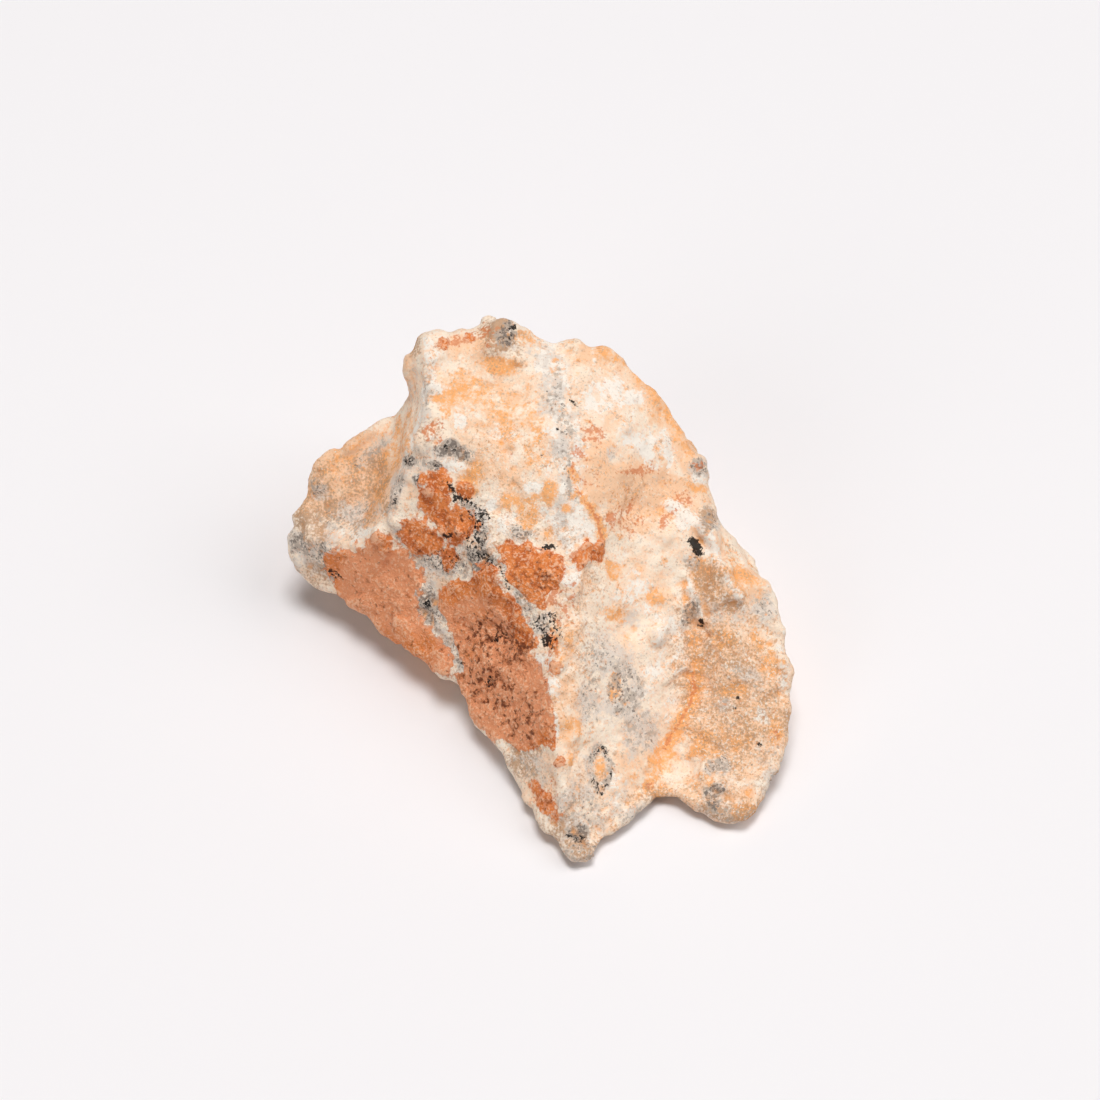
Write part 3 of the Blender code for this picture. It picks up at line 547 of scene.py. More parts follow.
# Veins and rims: what, half width in mm, strength, and the line's pixels
VEINS = {
    "red": [
        # Partly painted shade: the red core of the crease is iron oxide and also stands for the shade at
        # the bottom of the crease
        ("core of the crease", 0.13, 1.0,
         [(694, 672), (694, 690), (690, 706), (682, 720), (672, 736), (664, 750)]),
        ("vein below the light crest", 0.14, 0.9,
         [(574, 485), (584, 500), (592, 508), (598, 520), (600, 535), (603, 548)]),
        ("vein beside it", 0.12, 0.8, [(576, 446), (573, 462), (575, 480)]),
        ("rim of the red loop", 0.14, 0.9, [(583, 440), (587, 431), (596, 429), (603, 432)]),
        ("rim of the main face", 0.20, 0.95, [(536, 664), (544, 682), (550, 704), (552, 728)]),
        ("rim of the swirl", 0.17, 1.0, SWIRL_RIM),
        ("upper rim of the main face", 0.18, 0.8,
         [(480, 574), (490, 569), (500, 578), (510, 598), (528, 618)]),
        ("rim of the pitted blob", 0.16, 0.85,
         [(537, 546), (552, 550), (561, 560), (561, 580), (553, 597), (545, 607)]),
        ("hook on the dome", 0.13, 0.9, [(664, 528), (665, 517), (672, 511), (677, 509)]),
        ("crest, upper", 0.12, 0.7, [(560, 592), (566, 586), (576, 582)]),
        ("crest, bead strip", 0.13, 0.65, [(556, 628), (562, 612), (568, 600)]),
    ],
    "stain": [
        ("crease", 0.42, 1.0,
         [(697, 664), (696, 690), (692, 708), (683, 723), (672, 740), (664, 754)]),
        ("crease, upper", 0.25, 0.8, [(684, 585), (688, 606), (694, 628), (697, 650)]),
        ("crease, foot", 0.50, 0.75, [(664, 750), (656, 768), (652, 785)]),
        ("vein", 0.30, 0.75, [(573, 470), (578, 490), (590, 505), (600, 522), (603, 545)]),
        ("rim of the dome", 0.40, 0.55, [(600, 350), (630, 365), (655, 392), (675, 425), (690, 455)]),
    ],
    "white": [
        ("light crest", 1.15, 0.70, LIGHT_CREST),
        # Partly painted light: the pale vein along the lobe crest is made stronger to lighten the
        # crest's shaded slope
        ("lobe crest", 0.42, 1.0, [(672, 505), (686, 512), (700, 526), (710, 540), (718, 560)]),
        ("thin ridge", 0.14, 1.0, [(687, 580), (692, 592), (699, 606), (703, 618)]),
        ("lobe crest, lower", 0.28, 1.0, [(716, 562), (727, 575), (736, 590), (742, 605)]),
        ("left crest", 0.22, 0.80,
         [(425, 338), (428, 366), (424, 392), (418, 420), (409, 446), (400, 470)]),
        ("left crest, low", 0.20, 0.60, [(396, 480), (386, 506), (376, 525), (352, 540)]),
        ("under the black specks", 0.25, 0.70, [(470, 500), (478, 512), (492, 524), (506, 530)]),
    ],
    "dark": [
        ("chain of black specks", 0.34, 0.70,
         [(450, 484), (457, 497), (468, 501), (478, 507), (484, 514), (480, 528)]),
        ("edge of the pitted blob", 0.16, 0.66, [(498, 566), (504, 575), (508, 588)]),
        ("ring, top", 0.24, 0.61, [(593, 757), (599, 748), (606, 749), (608, 756)]),
        ("ring, foot", 0.26, 0.63, [(593, 781), (597, 789), (602, 793), (606, 784)]),
        ("ring, left", 0.17, 0.53, [(593, 757), (590, 768), (592, 780)]),
        ("ring, right", 0.20, 0.55, [(608, 756), (612, 768), (609, 780)]),
        ("specks by the pitted blob", 0.14, 0.62, [(538, 616), (548, 612), (560, 613)]),
        ("dark rim at the notch", 0.20, 0.6, [(566, 836), (574, 842), (588, 846)]),
    ],
    "grey": [
        ("light crest", 1.00, 0.48, LIGHT_CREST),
        ("light crest, core", 0.50, 0.66, [(556, 375), (563, 420), (566, 455), (568, 490)]),
        ("ring", 0.42, 0.70, RING),
        ("edge of the grey clast", 0.35, 0.45, [(413, 466), (404, 486), (394, 508), (386, 524)]),
    ],
}

# Fine forms on the skin: what, half width in mm, rise in mm, and the line's pixels
RIDGES = [
    ("lobe crest", 0.34, 0.26, [(672, 505), (686, 512), (700, 526), (714, 540)]),
    ("lobe crest, lower", 0.26, 0.14, [(714, 558), (727, 575), (736, 590), (748, 615)]),
    ("thin ridge", 0.24, 0.28, [(686, 578), (692, 592), (699, 606), (703, 620)]),
    ("groove beside the thin ridge", 0.50, -0.12, [(680, 590), (688, 606), (696, 626)]),
    ("ring", 0.26, -0.10, RING),
    ("left crest", 0.30, 0.14, [(425, 338), (428, 366), (424, 392), (418, 420), (409, 446)]),
    ("swirl", 0.17, 0.14, SWIRL_RIM),
    ("vein", 0.18, 0.07, [(574, 485), (584, 500), (592, 508), (598, 520), (600, 535)]),
    ("crease", 0.34, -0.16, [(697, 664), (696, 690), (692, 708), (683, 723), (672, 740)]),
    ("crack at the notch", 0.20, -0.10, [(650, 770), (652, 784)]),
]

# Steps in the skin: what, rise in mm of the left side along the line, reach in mm, and pixels
STEPS = [
    ("plateau edge at the dome", 0.22, 1.3, [(560, 340), (583, 362), (579, 400), (574, 440)]),
    ("lip of the plateau", 0.16, 1.0, [(590, 540), (556, 534), (520, 524), (490, 512), (470, 500)]),
    ("upper edge of the main face", -0.14, 0.9, [(328, 551), (377, 536), (410, 556), (428, 598)]),
    ("right edge of the main face", 0.16, 1.0, [(535, 634), (536, 668), (550, 704), (552, 752)]),
    ("lobe shelf", 0.14, 1.4, [(700, 640), (726, 664), (742, 700), (745, 740)]),
    ("lobe shelf, low", -0.10, 1.2, [(690, 770), (722, 756), (760, 748)]),
    ("shoulder shelf", 0.16, 1.2, [(306, 520), (340, 500), (372, 492)]),
]

# Patches on the far side and the underside: field, how many, radius in mm and strength
FAR_PATCHES = [
    ("peach", 34, (2.0, 4.5), (0.6, 1.0)),
    ("stain", 48, (0.6, 2.0), (0.5, 0.9)),
    ("white", 40, (0.7, 2.2), (0.5, 0.9)),
    ("grey", 52, (0.7, 2.0), (0.5, 0.9)),
    ("taupe", 16, (1.0, 2.8), (0.45, 0.8)),
    ("red", 26, (0.5, 1.4), (0.4, 0.8)),
    ("rust", 10, (0.6, 2.4), (0.80, 1.0)),
    ("dark", 40, (0.15, 0.45), (0.55, 0.85)),
]
FAR_SEED = 11

# Shapes of the far patches: least and most stretch, how far their edges stray as a share of the
# radius and in mm, and half the width of their soft edges in mm. The last is the strength of the
# fields that only change the far rust, all over the far side
FAR_STRETCH = (0.6, 1.5)
FAR_STRAY = 0.35
FAR_RIPPLE = 0.25
FAR_EDGE = 0.22
FAR_RUST = 0.6

# Step from one seed to the next, in features of a noise
SEED_STEP = (17.3, 5.1, 9.7)

# How rough the smoothest breaks of the seen side are, and the far side and the outline
SMOOTHEST = 0.40
FAR_ROUGHNESS = 0.8
OUTLINE_ROUGHNESS = 0.7


def linear(colour):
    """An sRGB hex colour as linear red, green and blue."""
    parts = [int(colour[i:i + 2], 16) / 255.0 for i in (1, 3, 5)]
    return [part / 12.92 if part <= 0.04045 else ((part + 0.055) / 1.055) ** 2.4 for part in parts]


def shade(name, description, colour):
    """A colour property."""
    return FloatVectorProperty(name=name, description=description, subtype="COLOR", size=3,
                               min=0.0, max=1.0, default=linear(colour))


def length(name, description, millimetres):
    """A length property."""
    return FloatProperty(name=name, description=description, subtype="DISTANCE", unit="LENGTH",
                         min=0.0, default=millimetres * MM, precision=5)


def amount(name, description, value):
    """A plain number property."""
    return FloatProperty(name=name, description=description, default=value, min=0.0)


def passes(name, description, count):
    """A property that counts rounds of smoothing."""
    return IntProperty(name=name, description=description, default=count, min=0)


def wattage(name, description, watts):
    """A property for the power of a light."""
    return FloatProperty(name=name, description=description, subtype="POWER", unit="POWER",
                         default=watts, min=0.0)


def angle(name, description, degrees):
    """An angle property."""
    return FloatProperty(name=name, description=description, subtype="ANGLE", unit="ROTATION",
                         default=math.radians(degrees))


class StoneShape(bpy.types.PropertyGroup):
    """Sizes of the stone's fine skin."""

    skin_step: length("Skin step", "Side of a face of the fine skin", 0.178)
    smoothing: passes("Smoothing", "Rounds of smoothing that take the solid's facets away", 5)
    crispness: amount("Crispness", "How much crests are brought out", 0.9)
    swell: length("Swell", "Height of a swell that is mostly evened out", 0.05)
    crest: length("Crest", "Height of a crest that is brought out", 0.16)
    crest_rise: length("Crest rise", "Height past which a crest gains no more", 0.25)
    break_size: length("Break size", "Width of a flat break", 2.6)
    break_slope: amount("Break slope", "Steepness of the flat breaks", 0.10)
    chip_size: length("Chip size", "Width of the small chips", 0.95)
    chip_slope: amount("Chip slope", "Steepness of the small chips", 0.12)
    edge_wear: passes("Edge wear", "Rounds of smoothing on the edges of breaks and chips", 1)
    lump_size: length("Lump size", "Width of the largest lumps of the granular skin", 0.75)
    lump_height: length("Lump height", "Height of the largest lumps of the granular skin", 0.11)
    pit_size: length("Pit size", "Distance between the small pits", 1.2)
    pit_depth: length("Pit depth", "Depth of a small pit", 0.09)
    crust_height: length("Crust height", "Thickness of the rust crust", 0.10)
    pore_size: length("Pore size", "Width of the pores in the rust crust", 0.70)
    pore_depth: length("Pore depth", "Depth of the pores in the rust crust", 0.24)


class StoneColours(bpy.types.PropertyGroup):
    """Colours of the minerals and stains."""

    cream: shade("Cream", "Weathered feldspar, the ground colour", "#FDEAD4")
    peach: shade("Peach", "Feldspar tinged by iron", "#FACAA2")
    # White also lifts the shaded slope of the lobe crest as painted light
    white: shade("White", "Fresh feldspar", "#FAF1E5")
    grey: shade("Grey", "Grey matrix between the clasts", "#E2D5C9")
    ash: shade("Ash", "Mid-grey grains of the matrix", "#B9AA9C")
    slate: shade("Slate", "Dark grains of the matrix", "#736860")
    # Taupe also deepens the lobe's step that faces away from the lights, as painted shade
    taupe: shade("Taupe", "Brown-grey weathered matrix", "#BF9068")
    stain: shade("Stain", "Yellow-orange iron stain", "#FBAF68")
    # Red also paints shade in the core of the crease
    red: shade("Red", "Brick-red iron oxide in veins and specks", "#DB8251")
    rust: shade("Rust", "Orange-brown rust crust", "#E9894A")
    rust_deep: shade("Deep rust", "Strongest orange-brown of the crust", "#C25E28")
    # Light rust is partly the worn high spots of the crust and partly painted highlight on the spots
    # that stand proud
    rust_light: shade("Light rust", "Worn high spots of the crust", "#FFD0AC")
    rust_pink: shade("Pink rust", "Dusty brownish-pink crust", "#EF9F73")
    rust_brown: shade("Brown rust", "Crust in its hollows", "#A85E36")
    # Dark rust is painted shade of the crust's pits and pores, which are too small for the skin's faces
    # to shade
    rust_dark: shade("Dark rust", "Crust in pits and pores", "#6B361F")
    # Black is the black mineral and specks, and also painted shade in pits
    black: shade("Black", "Black mineral", "#141110")


class Studio(bpy.types.PropertyGroup):
    """Light and floor."""

    floor_size: length("Floor size", "Side of the floor", 3000.0)
    floor_colour: shade("Floor colour", "Matt white paper", "#F4F1F2")
    fill: amount("Fill", "Strength of the even white fill", 0.13)
    top_power: wattage("Top power", "Power of the overhead softbox", 4.3)
    top_size: length("Top size", "Side of the overhead softbox", 300.0)
    top_height: length("Top height", "Height of the overhead softbox", 800.0)
    key_power: wattage("Key power", "Power of the side softbox", 5.9)
    key_size: length("Key size", "Side of the side softbox", 930.0)
    key_distance: length("Key distance", "Distance of the side softbox", 1400.0)
    key_turn: angle("Key turn", "Direction of the side softbox in plan", 90.0)
    key_rise: angle("Key rise", "Height of the side softbox as an angle", 50.0)
    card_power: wattage("Card power", "Power that the front card returns", 1.1)
    card_size: length("Card size", "Side of the front card", 500.0)
    card_distance: length("Card distance", "Distance of the front card", 900.0)
    card_turn: angle("Card turn", "Direction of the front card in plan", -45.0)
    card_rise: angle("Card rise", "Height of the front card as an angle", 30.0)


def view_axes():
    """The photograph's right, up and backward directions."""
    sine, cosine = math.sin(VIEW_ELEVATION), math.cos(VIEW_ELEVATION)
    return Vector((1, 0, 0)), Vector((0, sine, cosine)), Vector((0, -cosine, sine))


def in_view(pixel):
    """Millimetres across and up the picture plane for a pixel of the photograph."""
    middle = PHOTO_PIXELS / 2
    return np.array([(pixel[0] - middle) * PIXEL, (middle - pixel[1]) * PIXEL])


def seen_at(co):
    """Where the view shows each point, in millimetres across and up the picture plane."""
    right, up, back = (np.array(axis) for axis in view_axes())
    sight = co - np.array(VIEW_CENTRE)
    scale = VIEW_DISTANCE / (VIEW_DISTANCE - sight @ back)
    return np.stack([sight @ right, sight @ up], axis=1) * scale[:, None]


def smooth_step(run):
    """Rises smoothly from 0 to 1 as the run does."""
    run = np.clip(run, 0.0, 1.0)
    return run * run * (3.0 - 2.0 * run)


def laid(field, inside, edge, strength, where):
    """The field with a soft-edged patch over it, from how far inside that each vertex lies."""
    patch = np.clip(0.5 + inside / (2.0 * edge), 0.0, 1.0) * strength
    return np.maximum(field, patch * where)


class Skin:
    """The stone's fine mesh as arrays, in millimetres."""

    def __init__(self, mesh):
        self.mesh = mesh
        self.co = self.read("vertices", "co") / MM
        ends = np.empty(len(mesh.edges) * 2, dtype=int)
        mesh.edges.foreach_get("vertices", ends)
        self.first, self.second = ends.reshape(-1, 2).T
        self.count = np.bincount(ends, minlength=len(self.co))

    def read(self, part, key):
        """Three numbers for each vertex, edge or face, as rows."""
        items = getattr(self.mesh, part)
        values = np.empty(len(items) * 3)
        items.foreach_get(key, values)
        return values.reshape(-1, 3)

    def normals(self):
        """The way out of the stone at each vertex."""
        return self.read("vertices", "normal")

    def write(self):
        """Moves the mesh to the places in the array."""
        self.mesh.vertices.foreach_set("co", (self.co * MM).ravel())
        self.mesh.update()

    def eased(self, values, rounds):
        """The values, evened out with their neighbours."""
        total = np.empty_like(values)
        for _ in range(rounds):
            for column in range(values.shape[1]):
                each = values[:, column]
                total[:, column] = np.bincount(self.first, each[self.second], len(each))
                total[:, column] += np.bincount(self.second, each[self.first], len(each))
            values = (values + total / self.count[:, None]) / 2
        return values

    def noise(self, size, seed):
        """Smooth noise from about -1 to 1, with features of the size given."""
        shift = Vector([seed * step for step in SEED_STEP])
        return np.array([noise.noise(Vector(p) / size + shift) for p in self.co])

    def attribute(self, name, values):
        """Stores a value for each vertex on the mesh."""
        layer = self.mesh.attributes.get(name) or self.mesh.attributes.new(name, "FLOAT", "POINT")
        layer.data.foreach_set("value", values.astype(np.float32))


def seen_share(skin):
    """How far each vertex belongs to the side that the photograph shows, and to its outline."""
    eye = VIEW_CENTRE + view_axes()[2] * VIEW_DISTANCE
    tree = BVHTree.FromPolygons([tuple(p) for p in skin.co],
                                [tuple(face.vertices) for face in skin.mesh.polygons])
    share = np.zeros(len(skin.co))
    for number, point in enumerate(skin.co):
        sight = Vector(point) - eye
        distance = tree.ray_cast(eye, sight)[3]
        behind = sight.length - (distance or 0.0)
        share[number] = 1.0 if behind < SIGHT_SLACK else 0.0
    share = skin.eased(share[:, None], OUTLINE_ROUNDS)[:, 0]
    return smooth_step(OUTLINE_REACH * share), 4.0 * share * (1.0 - share)


def to_line(place, line, closed):
    """Distance from each place to a line in the picture plane, and on which side it lies."""
    corners = [in_view(pixel) for pixel in line]
    pairs = list(zip(corners, corners[1:]))
    if closed:
        pairs.append((corners[-1], corners[0]))
    nearest = np.full(len(place), np.inf)
    side = np.zeros(len(place))
    crossings = np.zeros(len(place), dtype=int)
    for start, end in pairs:
        run = end - start
        offset = place - start
        share = np.clip(offset @ run / (run @ run), 0.0, 1.0)
        away = np.linalg.norm(offset - share[:, None] * run, axis=1)
        closer = away < nearest
        nearest[closer] = away[closer]
        side[closer] = np.sign(run[0] * offset[closer, 1] - run[1] * offset[closer, 0])
        spans = (start[1] > place[:, 1]) != (end[1] > place[:, 1])
        if run[1] != 0.0:
            at = start[0] + run[0] * (place[:, 1] - start[1]) / run[1]
            crossings += spans & (place[:, 0] < at)
    inside = crossings % 2 == 1
    return nearest, side, inside


def near_fields(skin, seen, ragged):
    """The fields of the side that the photograph shows, from its patches, outlines and veins."""
    place = seen_at(skin.co)
    bent = place + ragged * WIDE_STRAY
    fine = place + ragged * FINE_STRAY
    fields = {name: np.zeros(len(place)) for name in FIELDS}
    for name, patches in PATCHES.items():
        for _, column, row, half_width, half_height, turn, strength in patches:
            small = min(half_width, half_height)
            spot = bent if small > FINE_PATCH else fine
            offset = spot - in_view((column, row))
            sine, cosine = math.sin(math.radians(turn)), math.cos(math.radians(turn))
            along = offset[:, 0] * cosine + offset[:, 1] * sine
            across = offset[:, 1] * cosine - offset[:, 0] * sine
            inside = (1.0 - np.hypot(along / half_width, across / half_height)) * small
            edge = np.clip(PATCH_EDGE * small, *PATCH_EDGE_LIMITS)
            fields[name] = laid(fields[name], inside, edge, strength, seen)
    for name, outlines in OUTLINED.items():
        for _, strength, line in outlines:
            nearest, _, within = to_line(bent, line, True)
            inside = np.where(within, nearest, -nearest)
            fields[name] = laid(fields[name], inside, OUTLINED_EDGE, strength, seen)
    for name, veins in VEINS.items():
        for _, half_width, strength, line in veins:
            nearest, _, _ = to_line(fine, line, False)
            inside, edge = half_width - nearest, VEIN_EDGE * half_width
            fields[name] = laid(fields[name], inside, edge, strength, seen)
    return fields


def far_fields(skin, seen, ragged, fields):
    """Adds seeded patches of the same kinds where the photograph doesn't reach."""
    rng = np.random.default_rng(FAR_SEED)
    behind = np.flatnonzero(seen < 0.5)
    unseen = 1.0 - seen
    for name, count, radii, strengths in FAR_PATCHES:
        for _ in range(count):
            centre = skin.co[rng.choice(behind)]
            radius = rng.uniform(*radii)
            stretch = rng.uniform(*FAR_STRETCH, 3)
            strength = rng.uniform(*strengths)
            offset = (skin.co - centre) / stretch
            distance = np.linalg.norm(offset, axis=1) + ragged[:, 0] * radius * FAR_STRAY
            distance += ragged[:, 1] * FAR_RIPPLE
            fields[name] = laid(fields[name], radius - distance, FAR_EDGE, strength, unseen)
    for name in ("pink_rust", "pocked"):
        fields[name] = np.maximum(fields[name], FAR_RUST * unseen)


def store_fields(skin, seen, outline):
    """Works out the fields of both sides and stores them on the skin."""
    ragged = np.stack([
        skin.noise(WAVE_SIZE, seed) + RIPPLE_SHARE * skin.noise(RIPPLE_SIZE, seed + 1)
        for seed in RAGGED_SEEDS], axis=1)
    fields = near_fields(skin, seen, ragged)
    far_fields(skin, seen, ragged, fields)
    fields["rough"] = SMOOTHEST + (1.0 - SMOOTHEST) * np.maximum.reduce([
        skin.eased(fields["rough"][:, None], EVENING_ROUNDS)[:, 0],
        FAR_ROUGHNESS * (1.0 - seen), OUTLINE_ROUGHNESS * outline])
    for name, values in fields.items():
        skin.attribute(name, values)


def raise_forms(skin, seen):
    """Raises the fine ridges and steps of the near side, and sinks its grooves."""
    place = seen_at(skin.co)
    rise = np.zeros(len(place))
    for _, half_width, height, line in RIDGES:
        nearest, _, _ = to_line(place, line, False)
        rise += height * smooth_step(1.0 - nearest / (RIDGE_FOOT * half_width))
    for _, height, reach, line in STEPS:
        nearest, side, _ = to_line(place, line, False)
        fall = smooth_step(1.0 - nearest / reach)
        rise += height * side * fall * smooth_step(nearest / STEP_EDGE) / 2.0
    skin.co += skin.normals() * (rise * seen)[:, None]
    skin.write()


def add(tree, kind, inputs=None, **settings):
    """Adds a node with its settings, and sets its inputs.

    An input given as a socket is linked to it, and one given as a node to its first output.
    """
    node = tree.nodes.new(kind)
    for key, value in settings.items():
        setattr(node, key, value)
    for key, value in (inputs or {}).items():
        if isinstance(value, bpy.types.Node):
            value = value.outputs[0]
        if isinstance(value, bpy.types.NodeSocket):
            tree.links.new(value, node.inputs[key])
        else:
            node.inputs[key].default_value = value
    return node


def skin_inputs(tree, shape, material):
    """Gives the skin's nodes their inputs and their output, and returns the inputs' values."""
    face = tree.interface
    face.new_socket("Geometry", in_out="INPUT", socket_type="NodeSocketGeometry")
    values = {}
    for name in SKIN_INPUTS:
        kind = "NodeSocketInt" if name == "Edge wear" else "NodeSocketFloat"
        socket = face.new_socket(name, in_out="INPUT", socket_type=kind)
        values[socket.identifier] = getattr(shape, name.lower().replace(" ", "_"))
    socket = face.new_socket("Material", in_out="INPUT", socket_type="NodeSocketMaterial")
    values[socket.identifier] = material
    face.new_socket("Geometry", in_out="OUTPUT", socket_type="NodeSocketGeometry")
    return values


def tilted_flats(tree, place, scale, size, slope, shift):
    """Height of flats with ragged edges, each tilted its own way."""
    middle = (PATTERN_MIDDLE, PATTERN_MIDDLE, PATTERN_MIDDLE)
    moved = add(tree, "ShaderNodeVectorMath", {0: place, 1: (shift, shift / 2, -shift)},
                operation="ADD")
    warp = add(tree, "ShaderNodeTexNoise", {"Vector": moved, "Scale": scale,
                                            "Detail": WARP_OCTAVES})
    centred = add(tree, "ShaderNodeVectorMath", {0: warp.outputs["Color"], 1: middle},
                  operation="SUBTRACT")
    stray = add(tree, "ShaderNodeVectorMath", {0: centred, "Scale": size}, operation="SCALE")
    bent = add(tree, "ShaderNodeVectorMath", {0: moved, 1: stray}, operation="ADD")
    cells = add(tree, "ShaderNodeTexVoronoi", {"Vector": bent, "Scale": scale})
    from_centre = add(tree, "ShaderNodeVectorMath", {0: bent, 1: cells.outputs["Position"]},
                      operation="SUBTRACT")
    tilt = add(tree, "ShaderNodeVectorMath", {0: cells.outputs["Color"], 1: middle},
               operation="SUBTRACT")
    lean = add(tree, "ShaderNodeVectorMath", {0: from_centre, 1: tilt}, operation="DOT_PRODUCT")
    return add(tree, "ShaderNodeMath", {0: lean.outputs["Value"], 1: slope},
               operation="MULTIPLY")


def sum_of_products(tree, products):
    """The sum of the products of the values and nodes in each row."""
    total = 0.0
    for product, *factors in products:
        for factor in factors:
            product = add(tree, "ShaderNodeMath", {0: product, 1: factor}, operation="MULTIPLY")
        total = add(tree, "ShaderNodeMath", {0: total, 1: product}, operation="ADD")
    return total


def broken_skin_tree(shape, material):
    """Geometry nodes that break the skin into flats and chips, with lumps, pits and a crust."""
    tree = bpy.data.node_groups.new("broken skin", "GeometryNodeTree")
    values = skin_inputs(tree, shape, material)
    given = add(tree, "NodeGroupInput").outputs
    place = add(tree, "GeometryNodeInputPosition")
    facing = add(tree, "GeometryNodeInputNormal")
    rough, rust, pocked = (add(tree, "GeometryNodeInputNamedAttribute", {"Name": name},
                               data_type="FLOAT").outputs["Attribute"]
                           for name in ("rough", "rust", "pocked"))
    scales = {name: add(tree, "ShaderNodeMath", {0: 1.0, 1: given[name]}, operation="DIVIDE")
              for name in SKIN_INPUTS if name.endswith("size")}
    breaks, chips = (tilted_flats(tree, place, scales[kind + " size"], given[kind + " size"],
                                  given[kind + " slope"], shift)
                     for kind, shift in FLATS.items())
    flats = add(tree, "ShaderNodeMath", {0: breaks, 1: chips}, operation="ADD")
    worn = add(tree, "GeometryNodeBlurAttribute", {"Value": flats,
                                                   "Iterations": given["Edge wear"]})
    noise_of_lumps = add(tree, "ShaderNodeTexNoise",
                         {"Vector": place, "Scale": scales["Lump size"],
                          "Detail": LUMP_OCTAVES, "Roughness": LUMP_ROUGHNESS})
    lumps = add(tree, "ShaderNodeMath", {0: noise_of_lumps, 1: -PATTERN_MIDDLE}, operation="ADD")
    cells = add(tree, "ShaderNodeTexVoronoi", {"Vector": place, "Scale": scales["Pit size"]})
    from_pit = add(tree, "ShaderNodeMath", {0: lumps, 1: PIT_FRAY, 2: cells.outputs["Distance"]},
                   operation="MULTIPLY_ADD")
    pits = add(tree, "ShaderNodeMapRange", {"Value": from_pit, "From Min": PIT_RIM,
                                            "From Max": PIT_FLOOR},
               interpolation_type="SMOOTHSTEP")
    crust = add(tree, "ShaderNodeMapRange", {"Value": rust, "From Min": CRUST_EDGE[0],
                                             "From Max": CRUST_EDGE[1]},
                interpolation_type="SMOOTHSTEP")
    froth = add(tree, "ShaderNodeTexNoise", {"Vector": place, "Scale": scales["Pore size"],
                                             "Detail": FROTH_OCTAVES,
                                             "Roughness": FROTH_ROUGHNESS})
    pores = add(tree, "ShaderNodeMapRange", {"Value": froth, "From Min": PORE_EDGE[0],
                                             "From Max": PORE_EDGE[1]})
    height = sum_of_products(tree, [
        (worn, BREAK_GAIN, rough),
        (lumps, given["Lump height"], rough),
        (pits, given["Pit depth"], -1.0),
        (crust, given["Crust height"]),
        (crust, pores, pocked, given["Pore depth"], -1.0),
    ])
    raised = add(tree, "ShaderNodeVectorMath", {0: facing, "Scale": height}, operation="SCALE")
    moved = add(tree, "GeometryNodeSetPosition", {"Geometry": given["Geometry"],
                                                  "Offset": raised})
    real = add(tree, "GeometryNodeRealizeInstances", {"Geometry": moved})
    finished = add(tree, "GeometryNodeSetMaterial", {"Geometry": real,
                                                     "Material": given["Material"]})
    add(tree, "NodeGroupOutput", {"Geometry": finished})
    return tree, values


def evaluated_mesh(obj):
    """A plain mesh of the object with its modifiers applied."""
    bpy.context.view_layer.update()
    graph = bpy.context.evaluated_depsgraph_get()
    return bpy.data.meshes.new_from_object(obj.evaluated_get(graph))


def baked(obj):
    """Replaces the object's mesh by its evaluated one, and takes the modifiers off."""
    mesh = evaluated_mesh(obj)
    obj.modifiers.clear()
    obj.data = mesh


def fine_copy(shape):
    """The solid's mesh as a new object with small even faces, its facets smoothed away."""
    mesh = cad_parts["stone"].data.copy()
    work = bmesh.new()
    work.from_mesh(mesh)
    bmesh.ops.remove_doubles(work, verts=work.verts, dist=SAME_POINT * MM)
    work.to_mesh(mesh)
    work.free()
    stone = bpy.data.objects.new("stone_skin", mesh)
    bpy.context.scene.collection.objects.link(stone)
    even = stone.modifiers.new("even faces", "REMESH")
    even.mode = "VOXEL"
    even.voxel_size = shape.skin_step
    baked(stone)
    skin = Skin(stone.data)
    near = skin.eased(skin.co, shape.smoothing)
    wide = skin.eased(near, CREST_ROUNDS)
    outward = skin.normals()
    rise = np.einsum("ij,ij->i", near - wide, outward)[:, None]
    height = skin.eased(rise, EVENING_ROUNDS) * MM
    crest = smooth_step((np.abs(height) - shape.swell) / (shape.crest - shape.swell))
    limit = np.minimum(1.0, shape.crest_rise / np.maximum(height, shape.swell))
    kept = np.where(height > 0.0, 1.0 + shape.crispness * limit, 1.0)
    kept = SWELL_KEPT + (kept - SWELL_KEPT) * crest
    skin.co = near + outward * rise * (kept - 1.0)
    skin.write()
    return stone


def keep_on_floor(skin):
    """Keeps the flat spot flat, at the height that the solid rests at."""
    skin.co[:, 2] = np.maximum(skin.co[:, 2], 0.0)
    skin.write()


def store_relief(skin):
    """Stores how far each vertex lies below or above the skin around it, from 0 to 1."""
    directions = skin.normals()
    around = skin.eased(skin.co, RELIEF_ROUNDS)
    depth = np.einsum("ij,ij->i", around - skin.co, directions)
    # The depth lays painted shade in the pits along with the iron stain, and the height lays painted
    # highlight on the proud spots along with the wear
    for name, way in zip(RELIEF, (depth, -depth)):
        skin.attribute(name, np.clip(way / RELIEF_HEIGHT, 0.0, 1.0))


